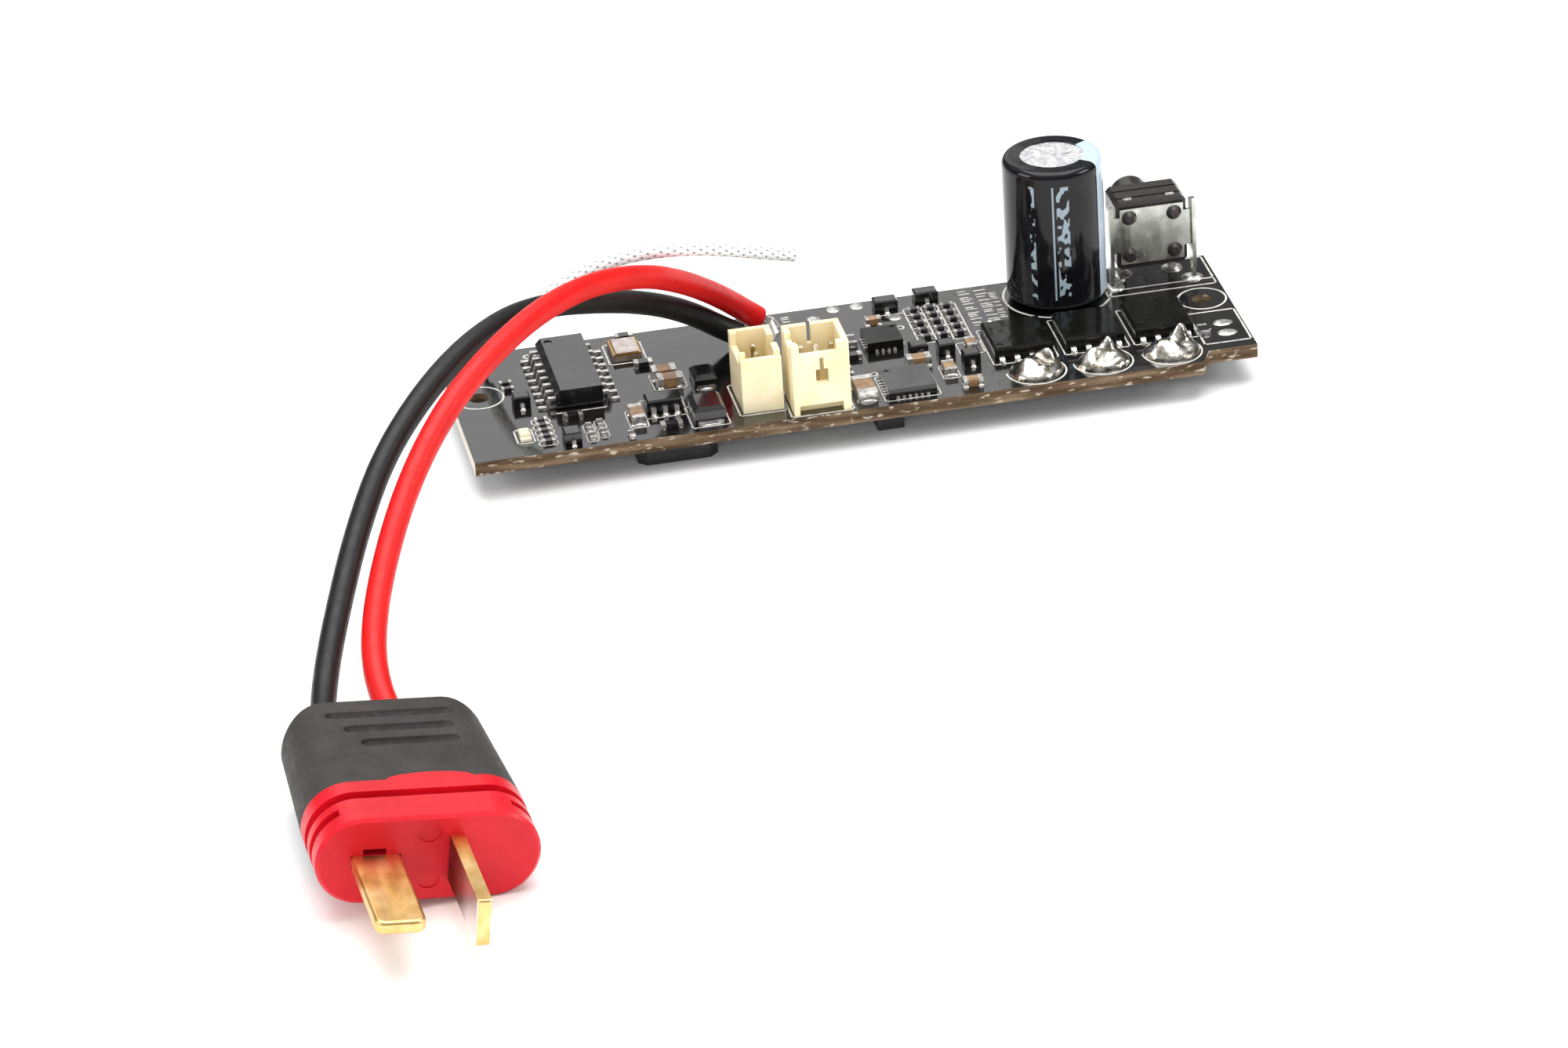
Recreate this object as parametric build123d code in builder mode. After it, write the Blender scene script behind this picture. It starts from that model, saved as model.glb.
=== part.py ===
"""Electronic speed controller: a populated circuit board with two power leads and a T-plug.

Frame: millimetres, +Z up. The origin is on the surface that the board stands on, under the
middle of the board and its switch. +X runs along the board towards the switch, and +Y towards
the end of the switch plunger. Board parts are placed in the plane "deck", whose origin is the
front left corner of the board's top face.
"""
import os
from math import cos, pi, radians, sin, tan

from build123d import *

os.makedirs("parts", exist_ok=True)

# ---------------------------------------------------------------- driving dimensions
BOARD_LENGTH = 65.2
BOARD_WIDTH = 19.6
BOARD_THICKNESS = 1.2
UNDERSIDE_HEIGHT = 2.2      # tallest parts and trimmed pins below the board
OVERALL_DEPTH = 24.0        # front edge of the board to the tip of the switch plunger
STEP_START = 60.2           # where the front edge steps back
STEP_RUN = 0.9
STEP_DEPTH = 1.86

SCREW_HOLE_RADIUS = 0.85
SCREW_HOLE_Y = 11.5
SCREW_HOLE_X = (2.24, 63.0)

CAP_CENTRE = (51.76, 16.05)
CAP_RADIUS = 4.18
CAP_HEIGHT = 12.5
CAP_SKIN = 0.12
CAP_LEAD_PITCH = 3.5
CAP_LEAD_RADIUS = 0.3

SWITCH_X = 59.9             # middle of the switch body and of its plunger
SWITCH_Z = 4.6
SWITCH_BODY = 6.0           # width and height of the body
SWITCH_BACK = 15.8          # face of the body that its bracket lies on
SWITCH_FRONT = 19.3
PLUNGER_RADIUS = 1.7
PLUNGER_GAP = 0.05
BRACKET_GAUGE = 0.3

PIN_SIDE = 0.4
PIN_TAIL = 1.0              # how far the header pins reach below the board
SWITCH_PINS = ((57.75, 18.0), (62.05, 18.0))
BRACKET_LEGS = ((56.55, 15.75), (63.25, 15.75))

LEAD_RADIUS = 0.98          # insulated power lead
CONDUCTOR_RADIUS = 0.55
ANTENNA_RADIUS = 0.55

PLUG_FRONT = (-46.0, -74.7, 4.08)
PLUG_HEADING = 2.4          # degrees about Z
PLUG_ROLL = 7.0             # degrees, its +X side lower
PLUG_WIDTH = 16.6
PLUG_THICKNESS = 6.9
PLUG_LENGTH = 19.0
COLLAR_DEPTH = 5.9          # bare front part of the plug body
CORE_DEPTH = 13.5           # body plus the core that the sleeve grips
BLADE_WIDTH = 3.7
BLADE_GAUGE = 1.05
BLADE_REACH = 9.9
BLADE_TAIL = 14.0
FLAT_BLADE_X = -3.9
UPRIGHT_BLADE_X = 2.0
LEAD_ENTRY_X = (-3.9, 1.5)  # black, red

SIT = (Align.CENTER, Align.CENTER, Align.MIN)
HANG = (Align.CENTER, Align.CENTER, Align.MAX)
CORNER = (Align.MIN, Align.MIN, Align.MIN)

deck = Plane((-BOARD_LENGTH / 2, -OVERALL_DEPTH / 2, UNDERSIDE_HEIGHT + BOARD_THICKNESS))
belly = deck.offset(-BOARD_THICKNESS)


# ---------------------------------------------------------------- shared shapes
def gull_lead(reach, rise, width, gauge=0.2):
    """A bent chip lead: leaves the body at x = 0 at height rise, stands on z = 0 at x = reach."""
    knee = reach * 0.4
    with BuildPart() as lead:
        with BuildSketch(Plane.XZ):
            with BuildLine():
                Polyline(
                    (0, rise),
                    (knee, rise),
                    (knee + gauge, gauge),
                    (reach, gauge),
                    (reach, 0),
                    (knee, 0),
                    (knee - gauge, rise - gauge),
                    (0, rise - gauge),
                    close=True,
                )
            make_face()
        extrude(amount=width / 2, both=True)
    return lead.part


def facing(spots, angle):
    """Places at spots (x, y) or (x, y, z), each turned by angle about the board's normal."""
    return [Location(spot if len(spot) == 3 else (*spot, 0), (0, 0, angle)) for spot in spots]


def column(x, middle, pitch, count):
    """Points in a line along Y."""
    first = middle - pitch * (count - 1) / 2
    return [(x, first + pitch * n) for n in range(count)]


def row(y, middle, pitch, count):
    """Points in a line along X."""
    first = middle - pitch * (count - 1) / 2
    return [(first + pitch * n, y) for n in range(count)]


# ---------------------------------------------------------------- circuit board
header_two_pins = column(24.05, 4.65, 1.5, 2)
header_three_pins = row(2.3, 28.65, 1.25, 3)
cap_pins = row(CAP_CENTRE[1], CAP_CENTRE[0], CAP_LEAD_PITCH, 2)

with BuildPart() as circuit_board:
    with BuildSketch(deck):
        with BuildLine():
            Polyline(
                (0, 0),
                (STEP_START, 0),
                (STEP_START + STEP_RUN, STEP_DEPTH),
                (BOARD_LENGTH, STEP_DEPTH),
                (BOARD_LENGTH, BOARD_WIDTH),
                (0, BOARD_WIDTH),
                close=True,
            )
        make_face()
        with Locations(*[(x, SCREW_HOLE_Y) for x in SCREW_HOLE_X]):
            Circle(SCREW_HOLE_RADIUS, mode=Mode.SUBTRACT)
        with Locations(*cap_pins):
            Circle(CAP_LEAD_RADIUS + 0.15, mode=Mode.SUBTRACT)
        with Locations(*SWITCH_PINS, *BRACKET_LEGS):
            Circle(0.5, mode=Mode.SUBTRACT)
        with Locations(*header_two_pins, *header_three_pins):
            Circle(0.32, mode=Mode.SUBTRACT)
    extrude(amount=-BOARD_THICKNESS)
circuit_board.part.label = "circuit_board"
export_step(circuit_board.part, "parts/circuit_board.step")

# ---------------------------------------------------------------- capacitor
cap_seat = Plane(deck.from_local_coords((*CAP_CENTRE, 0.3)))
can_radius = CAP_RADIUS - CAP_SKIN
BUNG_HEIGHT = 1.6
RIM_OPENING = 2.65
CAN_EDGE = 0.5              # rounding of the can's ends


def can_blank():
    """The can's outer form, with rounded ends, standing on the origin."""
    with BuildPart() as blank:
        Cylinder(can_radius, CAP_HEIGHT - 2 * CAP_SKIN, align=SIT)
        fillet(blank.edges().filter_by(GeomType.CIRCLE), CAN_EDGE)
    return blank.part


can_form = can_blank()

with BuildPart(cap_seat) as capacitor_sleeve:
    Cylinder(CAP_RADIUS, CAP_HEIGHT, align=SIT)
    fillet(capacitor_sleeve.edges().filter_by(GeomType.CIRCLE), CAN_EDGE + CAP_SKIN)
    with Locations((0, 0, CAP_SKIN)):
        add(can_form, mode=Mode.SUBTRACT)
    Cylinder(RIM_OPENING, CAP_HEIGHT, align=SIT, mode=Mode.SUBTRACT)
capacitor_sleeve.part.label = "capacitor_sleeve"
export_step(capacitor_sleeve.part, "parts/capacitor_sleeve.step")

with BuildPart(cap_seat.offset(CAP_SKIN)) as capacitor_can:
    add(can_form)
    Cylinder(3.2, BUNG_HEIGHT, align=SIT, mode=Mode.SUBTRACT)
    for angle in (0, 120, 240):
        with Locations(Location((0, 0, CAP_HEIGHT - 2 * CAP_SKIN), (0, 0, angle))):
            Box(2.0, 0.16, 0.1, align=(Align.MIN, Align.CENTER, Align.MAX), mode=Mode.SUBTRACT)
capacitor_can.part.label = "capacitor_can"
export_step(capacitor_can.part, "parts/capacitor_can.step")

with BuildPart(cap_seat.offset(CAP_SKIN)) as capacitor_bung:
    Cylinder(3.2, BUNG_HEIGHT, align=SIT)
    with Locations((-CAP_LEAD_PITCH / 2, 0), (CAP_LEAD_PITCH / 2, 0)):
        Cylinder(CAP_LEAD_RADIUS, BUNG_HEIGHT, align=SIT, mode=Mode.SUBTRACT)
capacitor_bung.part.label = "capacitor_bung"
export_step(capacitor_bung.part, "parts/capacitor_bung.step")

with BuildPart(deck) as capacitor_leads:
    with Locations(*[(x, y, -BOARD_THICKNESS - UNDERSIDE_HEIGHT) for x, y in cap_pins]):
        lead_length = BOARD_THICKNESS + UNDERSIDE_HEIGHT + 0.3 + CAP_SKIN + BUNG_HEIGHT
        Cylinder(CAP_LEAD_RADIUS, lead_length, align=SIT)
capacitor_leads.part.label = "capacitor_leads"
export_step(capacitor_leads.part, "parts/capacitor_leads.step")

# ---------------------------------------------------------------- right-angle push switch
switch_axis = Plane(
    deck.from_local_coords((SWITCH_X, SWITCH_BACK, SWITCH_Z)), x_dir=(-1, 0, 0), z_dir=(0, 1, 0)
)
BODY_DEPTH = SWITCH_FRONT - SWITCH_BACK
CAVITY_START = 0.5
CAVITY_END = 2.7
CAVITY_RADIUS = 2.4
RIVET_GRID = (3.8, 3.4)
RIVET_PEG_RADIUS = 0.4
RIVET_DOME_RADIUS = 0.65

with BuildPart(switch_axis) as switch_body:
    Box(SWITCH_BODY, SWITCH_BODY, BODY_DEPTH, align=SIT)
    chamfer(switch_body.edges().filter_by(Axis.Y), 0.35)
    for height, depth in ((0.9, 0.25), (2.3, 0.2)):
        with Locations((0, SWITCH_BODY / 2, height), (0, -SWITCH_BODY / 2, height)):
            Box(SWITCH_BODY, depth, 0.22, mode=Mode.SUBTRACT)
    with Locations((0, 0, CAVITY_START)):
        cavity = CAVITY_END - CAVITY_START
        Cylinder(CAVITY_RADIUS, cavity, align=SIT, mode=Mode.SUBTRACT)
    bore = PLUNGER_RADIUS + PLUNGER_GAP
    with Locations((0, 0, CAVITY_END)):
        Cylinder(bore, BODY_DEPTH - CAVITY_END, align=SIT, mode=Mode.SUBTRACT)
    with GridLocations(*RIVET_GRID, 2, 2):
        Cylinder(RIVET_PEG_RADIUS, BRACKET_GAUGE, align=HANG)
    with Locations((0, 0, -BRACKET_GAUGE)):
        with GridLocations(*RIVET_GRID, 2, 2):
            Cone(0.35, RIVET_DOME_RADIUS, 0.4, align=HANG)
    fillet(switch_body.faces().sort_by(Axis.Y).first.edges(), 0.12)
switch_body.part.label = "switch_body"
export_step(switch_body.part, "parts/switch_body.step")

with BuildPart(switch_axis.offset(-BRACKET_GAUGE)) as switch_bracket:
    with BuildSketch(switch_axis.offset(-BRACKET_GAUGE)):
        Rectangle(5.4, 5.0)
        with GridLocations(*RIVET_GRID, 2, 2):
            Circle(RIVET_PEG_RADIUS, mode=Mode.SUBTRACT)
    extrude(amount=BRACKET_GAUGE)
    for side in (-1, 1):
        with Locations((side * (2.7 + 0.35), 0.2, 0)):
            Box(0.7, 3.2, BRACKET_GAUGE, align=SIT)
        with Locations((side * (3.35 + BRACKET_GAUGE / 2), -0.45, -0.4)):
            Box(BRACKET_GAUGE, 5.9, 1.3, align=SIT)
        with Locations((side * (3.35 + BRACKET_GAUGE / 2), 2.4, -0.4)):
            Box(BRACKET_GAUGE, 1.0, 0.5, align=SIT)
        leg_top = -3.3
        leg_end = -(SWITCH_Z + BOARD_THICKNESS + UNDERSIDE_HEIGHT)
        with Locations((side * (3.35 + BRACKET_GAUGE / 2), (leg_top + leg_end) / 2, -0.1)):
            Box(BRACKET_GAUGE, leg_top - leg_end, 0.7, align=SIT)
switch_bracket.part.label = "switch_bracket"
export_step(switch_bracket.part, "parts/switch_bracket.step")

FLANGE_START = 1.9
PLUNGER_TIP = OVERALL_DEPTH - SWITCH_BACK

with BuildPart(switch_axis.offset(FLANGE_START)) as switch_plunger:
    Cylinder(CAVITY_RADIUS - 0.1, 0.72, align=SIT)
    with Locations((0, 0, 0.72)):
        Cylinder(PLUNGER_RADIUS, PLUNGER_TIP - FLANGE_START - 0.72, align=SIT)
    fillet(switch_plunger.faces().sort_by(Axis.Y).last.edges(), 0.35)
    Cylinder(0.6, 0.1, align=HANG)
switch_plunger.part.label = "switch_plunger"
export_step(switch_plunger.part, "parts/switch_plunger.step")

with BuildPart() as switch_dome:
    with BuildSketch(Plane(switch_axis.origin, x_dir=(1, 0, 0), z_dir=(0, 0, 1))):
        with BuildLine():
            Polyline(
                (0, 1.36),
                (1.1, 1.22),
                (2.3, 0.62),
                (2.3, CAVITY_START),
                (2.1, CAVITY_START),
                (1.05, 1.1),
                (0, 1.24),
                close=True,
            )
        make_face()
    revolve(axis=Axis(switch_axis.origin, (0, 1, 0)))
switch_dome.part.label = "switch_dome"
export_step(switch_dome.part, "parts/switch_dome.step")

with BuildPart(deck) as switch_terminals:
    body_floor = SWITCH_Z - SWITCH_BODY / 2
    for x, y in SWITCH_PINS:
        with Locations((x, y, -BOARD_THICKNESS - UNDERSIDE_HEIGHT)):
            Box(0.7, 0.3, BOARD_THICKNESS + UNDERSIDE_HEIGHT + body_floor, align=SIT)
switch_terminals.part.label = "switch_terminals"
export_step(switch_terminals.part, "parts/switch_terminals.step")

# ---------------------------------------------------------------- connector headers
WALL = 0.5
SOCKET_FLOOR = 1.0
TWO_PIN = (22.4, 2.0, 3.35, 5.3, 5.15)      # x, y, width, depth, height
THREE_PIN = (26.3, 0.3, 4.7, 4.3, 6.2)

with BuildPart(deck) as two_pin_header:
    x, y, width, depth, height = TWO_PIN
    with Locations((x, y)):
        Box(width, depth, height, align=CORNER)
    with Locations((x + WALL, y + WALL, SOCKET_FLOOR)):
        Box(width - 2 * WALL, depth - 2 * WALL, height, align=CORNER, mode=Mode.SUBTRACT)
    with Locations((x, y, 4.7)):
        Box(width, WALL, height, align=CORNER, mode=Mode.SUBTRACT)
    with Locations((x, y + 0.9, 4.1)):
        Box(WALL, depth - 1.8, height, align=CORNER, mode=Mode.SUBTRACT)
    with Locations((x + width - WALL, y + 1.9, 3.2)):
        Box(WALL, 1.5, height, align=CORNER, mode=Mode.SUBTRACT)
    with Locations(*header_two_pins):
        Box(PIN_SIDE, PIN_SIDE, SOCKET_FLOOR, align=SIT, mode=Mode.SUBTRACT)
two_pin_header.part.label = "two_pin_header"
export_step(two_pin_header.part, "parts/two_pin_header.step")

with BuildPart(deck) as three_pin_header:
    x, y, width, depth, height = THREE_PIN
    with Locations((x, y)):
        Box(width, depth, height, align=CORNER)
    with Locations((x + WALL, y + WALL, SOCKET_FLOOR)):
        Box(width - 2 * WALL, depth - 2 * WALL, height, align=CORNER, mode=Mode.SUBTRACT)
    with Locations((x + 0.6, y, 5.35)):
        Box(width - 1.6, WALL, height, align=CORNER, mode=Mode.SUBTRACT)
    with Locations((x + 1.9, y, 2.7)):
        Box(1.05, WALL, 1.25, align=CORNER, mode=Mode.SUBTRACT)
    with Locations((x + 2.25, y, 3.9)):
        Box(0.35, WALL, 1.05, align=CORNER, mode=Mode.SUBTRACT)
    with Locations((x + 0.45, y, 0)):
        Box(width - 1.1, 0.9, 0.85, align=CORNER, mode=Mode.SUBTRACT)
    with Locations((x + 2.0, y + depth - WALL, 4.5)):
        Box(0.35, WALL, height, align=CORNER, mode=Mode.SUBTRACT)
    with Locations((x, y + 0.9, 5.6)):
        Box(WALL, 1.9, height, align=CORNER, mode=Mode.SUBTRACT)
    with Locations(*header_three_pins):
        Box(PIN_SIDE, PIN_SIDE, SOCKET_FLOOR, align=SIT, mode=Mode.SUBTRACT)
three_pin_header.part.label = "three_pin_header"
export_step(three_pin_header.part, "parts/three_pin_header.step")

pin_foot = -BOARD_THICKNESS - PIN_TAIL
with BuildPart(deck) as two_pin_contacts:
    with Locations(*[(*spot, pin_foot) for spot in header_two_pins]):
        Box(PIN_SIDE, PIN_SIDE, 4.5 - pin_foot, align=SIT)
    chamfer(two_pin_contacts.faces().group_by(Axis.Z)[-1].edges(), 0.12)
two_pin_contacts.part.label = "two_pin_contacts"
export_step(two_pin_contacts.part, "parts/two_pin_contacts.step")

with BuildPart(deck) as three_pin_contacts:
    with Locations(*[(*spot, pin_foot) for spot in header_three_pins]):
        Box(PIN_SIDE, PIN_SIDE, 5.3 - pin_foot, align=SIT)
    chamfer(three_pin_contacts.faces().group_by(Axis.Z)[-1].edges(), 0.12)
three_pin_contacts.part.label = "three_pin_contacts"
export_step(three_pin_contacts.part, "parts/three_pin_contacts.step")

# ---------------------------------------------------------------- sixteen-lead main chip
CHIP_X, CHIP_Y = 9.9, 12.35
CHIP_WIDTH, CHIP_LENGTH, CHIP_TOP = 3.9, 10.1, 1.75
chip_lead = gull_lead(reach=1.4, rise=0.95, width=0.42)

with BuildPart(deck) as main_chip:
    with Locations((CHIP_X, CHIP_Y, 0.12)):
        Box(CHIP_WIDTH, CHIP_LENGTH, CHIP_TOP - 0.12, align=SIT)
    top_edges = main_chip.faces().sort_by(Axis.Z).last.edges()
    chamfer(top_edges.sort_by(Axis.X).first, 0.45)
    with Locations((CHIP_X - 1.0, CHIP_Y + 4.2, CHIP_TOP)):
        Cylinder(0.35, 0.1, align=HANG, mode=Mode.SUBTRACT)
main_chip.part.label = "main_chip"
export_step(main_chip.part, "parts/main_chip.step")

with BuildPart(deck) as main_chip_leads:
    right_side = column(CHIP_X + CHIP_WIDTH / 2, CHIP_Y, 1.27, 8)
    left_side = column(CHIP_X - CHIP_WIDTH / 2, CHIP_Y, 1.27, 8)
    with Locations(*facing(right_side, 0), *facing(left_side, 180)):
        add(chip_lead)
main_chip_leads.part.label = "main_chip_leads"
export_step(main_chip_leads.part, "parts/main_chip_leads.step")

# ---------------------------------------------------------------- leadless chips
with BuildPart(deck) as driver_chip:
    with Locations((36.2, 3.0, 0.02)):
        Box(4.0, 4.0, 0.85, align=SIT)
    with Locations((34.75, 4.45, 0.87)):
        Cylinder(0.22, 0.06, align=HANG, mode=Mode.SUBTRACT)
driver_chip.part.label = "driver_chip"
export_step(driver_chip.part, "parts/driver_chip.step")

with BuildPart(deck) as driver_chip_pads:
    for reach in (-2.12, 2.12):
        with Locations(*row(3.0 + reach, 36.2, 0.5, 6)):
            Box(0.26, 0.24, 0.22, align=SIT)
        with Locations(*column(36.2 + reach, 3.0, 0.5, 6)):
            Box(0.24, 0.26, 0.22, align=SIT)
driver_chip_pads.part.label = "driver_chip_pads"
export_step(driver_chip_pads.part, "parts/driver_chip_pads.step")

with BuildPart(deck) as logic_chip:
    with Locations((35.85, 11.4, 0.02)):
        Box(3.0, 3.0, 0.85, align=SIT)
    with Locations((36.95, 12.5, 0.87)):
        Cylinder(0.2, 0.06, align=HANG, mode=Mode.SUBTRACT)
logic_chip.part.label = "logic_chip"
export_step(logic_chip.part, "parts/logic_chip.step")

with BuildPart(deck) as logic_chip_pads:
    for reach in (-1.62, 1.62):
        with Locations(*row(11.4 + reach, 35.85, 0.5, 4)):
            Box(0.26, 0.24, 0.22, align=SIT)
        with Locations(*column(35.85 + reach, 11.4, 0.5, 4)):
            Box(0.24, 0.26, 0.22, align=SIT)
logic_chip_pads.part.label = "logic_chip_pads"
export_step(logic_chip_pads.part, "parts/logic_chip_pads.step")

# ---------------------------------------------------------------- phase transistors, top and bottom
FET_WIDTH, FET_DEPTH, FET_HEIGHT = 4.9, 5.3, 1.05
FET_PITCH = 1.27
PHASES = {"left": (46.45, 7.95), "middle": (52.45, 8.0), "right": (58.3, 8.05)}
fet_lead = gull_lead(reach=0.75, rise=0.35, width=0.42)

for phase, (x, y) in PHASES.items():
    with BuildPart(deck) as transistor:
        with Locations((x, y, 0.03)):
            Box(FET_WIDTH, FET_DEPTH, FET_HEIGHT, align=SIT)
        chamfer(transistor.faces().sort_by(Axis.Z).last.edges(), 0.18)
        with Locations((x - 1.9, y - 2.0, FET_HEIGHT + 0.03)):
            Cylinder(0.3, 0.06, align=HANG, mode=Mode.SUBTRACT)
    transistor.part.label = f"upper_transistor_{phase}"
    export_step(transistor.part, f"parts/upper_transistor_{phase}.step")

    with BuildPart(deck) as transistor_leads:
        with Locations(*facing(row(y - FET_DEPTH / 2, x, FET_PITCH, 4), -90)):
            add(fet_lead)
        with Locations((x, y + FET_DEPTH / 2 + 0.2)):
            Box(4.2, 0.4, 0.25, align=SIT)
    transistor_leads.part.label = f"upper_leads_{phase}"
    export_step(transistor_leads.part, f"parts/upper_leads_{phase}.step")

with BuildPart(belly) as lower_transistors:
    with Locations(*[(x, y, -0.03) for x, y in PHASES.values()]):
        Box(FET_WIDTH, FET_DEPTH, FET_HEIGHT, align=HANG)
    chamfer(lower_transistors.faces().group_by(Axis.Z)[0].edges(), 0.18)
lower_transistors.part.label = "lower_transistors"
export_step(lower_transistors.part, "parts/lower_transistors.step")

with BuildPart(belly) as lower_transistor_leads:
    for x, y in PHASES.values():
        with Locations(*row(y - FET_DEPTH / 2 - 0.35, x, FET_PITCH, 4)):
            Box(0.42, 0.7, 0.25, align=HANG)
        with Locations((x, y + FET_DEPTH / 2 + 0.2)):
            Box(4.2, 0.4, 0.25, align=HANG)
lower_transistor_leads.part.label = "lower_transistor_leads"
export_step(lower_transistor_leads.part, "parts/lower_transistor_leads.step")

# ---------------------------------------------------------------- crystal
with BuildPart(deck) as crystal_base:
    with Locations((15.15, 16.1, 0.02)):
        Box(2.4, 3.1, 0.5, align=SIT)
crystal_base.part.label = "crystal_base"
export_step(crystal_base.part, "parts/crystal_base.step")

with BuildPart(deck) as crystal_lid:
    with Locations((15.15, 16.1, 0.52)):
        Box(2.3, 3.0, 0.12, align=SIT)
    with Locations((15.15, 16.1, 0.64)):
        Box(2.0, 2.7, 0.16, align=SIT)
    chamfer(crystal_lid.faces().sort_by(Axis.Z).last.edges(), 0.08)
crystal_lid.part.label = "crystal_lid"
export_step(crystal_lid.part, "parts/crystal_lid.step")

# ---------------------------------------------------------------- regulator and diodes
sot_lead = gull_lead(reach=0.85, rise=0.6, width=0.4, gauge=0.16)
REG_X, REG_Y = 16.35, 5.2

with BuildPart(deck) as regulator:
    with Locations((REG_X, REG_Y, 0.08)):
        Box(2.9, 1.7, 1.05, align=SIT)
    chamfer(regulator.faces().sort_by(Axis.Z).last.edges(), 0.15)
regulator.part.label = "regulator"
export_step(regulator.part, "parts/regulator.step")

with BuildPart(deck) as regulator_leads:
    front_side = row(REG_Y - 0.85, REG_X, 0.95, 3)
    back_side = row(REG_Y + 0.85, REG_X, 0.95, 3)
    with Locations(*facing(front_side, -90), *facing(back_side, 90)):
        add(sot_lead)
regulator_leads.part.label = "regulator_leads"
export_step(regulator_leads.part, "parts/regulator_leads.step")

DIODES = ((19.55, 2.65, 2.6, 3.2, 1.5), (20.4, 8.9, 1.9, 2.6, 1.1))     # x, y, width, depth, height
with BuildPart(deck) as diodes:
    for x, y, width, depth, height in DIODES:
        with Locations((x, y, 0.1)):
            Box(width, depth, height - 0.1, align=SIT)
    for top in diodes.faces().filter_by(Axis.Z).sort_by(Axis.Z)[-2:]:
        chamfer(top.edges(), 0.35)
diodes.part.label = "diodes"
export_step(diodes.part, "parts/diodes.step")

with BuildPart(deck) as diode_terminals:
    for x, y, width, depth, height in DIODES:
        for side in (-1, 1):
            with Locations((x, y + side * (depth / 2 + 0.09), 0)):
                Box(width * 0.8, 0.18, height * 0.25, align=SIT)
            with Locations((x, y + side * (depth / 2 - 0.1), 0)):
                Box(width * 0.8, 0.56, 0.1, align=SIT)
diode_terminals.part.label = "diode_terminals"
export_step(diode_terminals.part, "parts/diode_terminals.step")

# ---------------------------------------------------------------- chip capacitors and resistors
ALONG_X, ALONG_Y = 0, 90
# x, y, direction, length, width, height
CERAMICS = (
    (17.65, 9.15, ALONG_X, 2.0, 1.25, 0.9),
    (17.45, 10.75, ALONG_X, 2.0, 1.25, 0.9),
    (13.95, 3.8, ALONG_Y, 2.6, 1.1, 0.8),
    (32.55, 2.7, ALONG_Y, 3.2, 1.6, 0.95),
    (37.9, 6.65, ALONG_X, 2.0, 1.1, 0.8),
    (40.0, 4.5, ALONG_Y, 1.8, 1.0, 0.7),
    (41.3, 1.6, ALONG_X, 1.6, 0.85, 0.7),
    (42.65, 8.3, ALONG_Y, 1.6, 0.85, 0.7),
    (35.9, 15.2, ALONG_X, 1.3, 0.8, 0.6),
)
LARGE_RESISTORS = (
    (9.0, 5.6, ALONG_X, 1.6, 0.8, 0.45),
    (16.4, 1.6, ALONG_X, 1.8, 0.8, 0.45),
    (16.2, 13.3, ALONG_X, 1.5, 0.8, 0.5),
    (15.5, 18.7, ALONG_X, 1.5, 0.8, 0.5),
    (33.4, 12.2, ALONG_Y, 1.6, 0.8, 0.45),
    (32.9, 9.4, ALONG_X, 1.6, 0.8, 0.45),
    (61.5, 5.1, ALONG_Y, 1.6, 0.8, 0.5),
)
SMALL_CHIP = (1.0, 0.5, 0.35)
SMALL_RESISTORS = [
    *[(x, y, ALONG_X, *SMALL_CHIP) for y in (11.2, 12.5, 13.9, 15.2, 16.5) for x in (39.6, 41.0, 42.4)],
    *[(6.35, y, ALONG_X, *SMALL_CHIP) for y in (1.7, 2.7, 3.7, 4.7, 5.7)],
    *[(x, y, ALONG_Y, *SMALL_CHIP) for x, y in ((9.9, 1.6), (9.9, 3.3), (10.9, 2.0), (10.9, 3.7))],
    *[(4.7, y, ALONG_X, *SMALL_CHIP) for y in (12.1, 13.2)],
    (13.0, 0.9, ALONG_Y, *SMALL_CHIP),
    *[(31.9, y, ALONG_X, *SMALL_CHIP) for y in (6.2, 7.3, 12.0, 13.2, 14.6)],
]
RESISTORS = [*LARGE_RESISTORS, *SMALL_RESISTORS]
END_CAP = 0.22              # share of the length that each metal end takes


def chip_bodies(chips, lift=0.03):
    """Middle blocks of two-ended chips, standing just above the board, in the open part."""
    for x, y, angle, length, width, height in chips:
        with Locations(Location((x, y, lift), (0, 0, angle))):
            Box(length * (1 - 2 * END_CAP), width * 0.96, height * 0.97 - lift, align=SIT)


def chip_ends(chips):
    """Metal ends of two-ended chips, in the open part."""
    for x, y, angle, length, width, height in chips:
        shift = length * (1 - END_CAP) / 2
        for side in (-1, 1):
            dx = side * shift * cos(radians(angle))
            dy = side * shift * sin(radians(angle))
            with Locations(Location((x + dx, y + dy, 0), (0, 0, angle))):
                Box(length * END_CAP, width, height, align=SIT)


with BuildPart(deck) as ceramic_capacitors:
    chip_bodies(CERAMICS)
ceramic_capacitors.part.label = "ceramic_capacitors"
export_step(ceramic_capacitors.part, "parts/ceramic_capacitors.step")

with BuildPart(deck) as ceramic_capacitor_ends:
    chip_ends(CERAMICS)
ceramic_capacitor_ends.part.label = "ceramic_capacitor_ends"
export_step(ceramic_capacitor_ends.part, "parts/ceramic_capacitor_ends.step")

with BuildPart(deck) as chip_resistors:
    chip_bodies(RESISTORS)
chip_resistors.part.label = "chip_resistors"
export_step(chip_resistors.part, "parts/chip_resistors.step")

with BuildPart(deck) as chip_resistor_ends:
    chip_ends(RESISTORS)
chip_resistor_ends.part.label = "chip_resistor_ends"
export_step(chip_resistor_ends.part, "parts/chip_resistor_ends.step")

# ---------------------------------------------------------------- status light
with BuildPart(deck) as status_light:
    with Locations((4.65, 3.4)):
        Box(0.9, 1.9, 0.25, align=SIT)
    with Locations((4.65, 3.4, 0.25)):
        Box(0.9, 1.1, 0.35, align=SIT)
    chamfer(status_light.faces().sort_by(Axis.Z).last.edges(), 0.12)
status_light.part.label = "status_light"
export_step(status_light.part, "parts/status_light.step")

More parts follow.
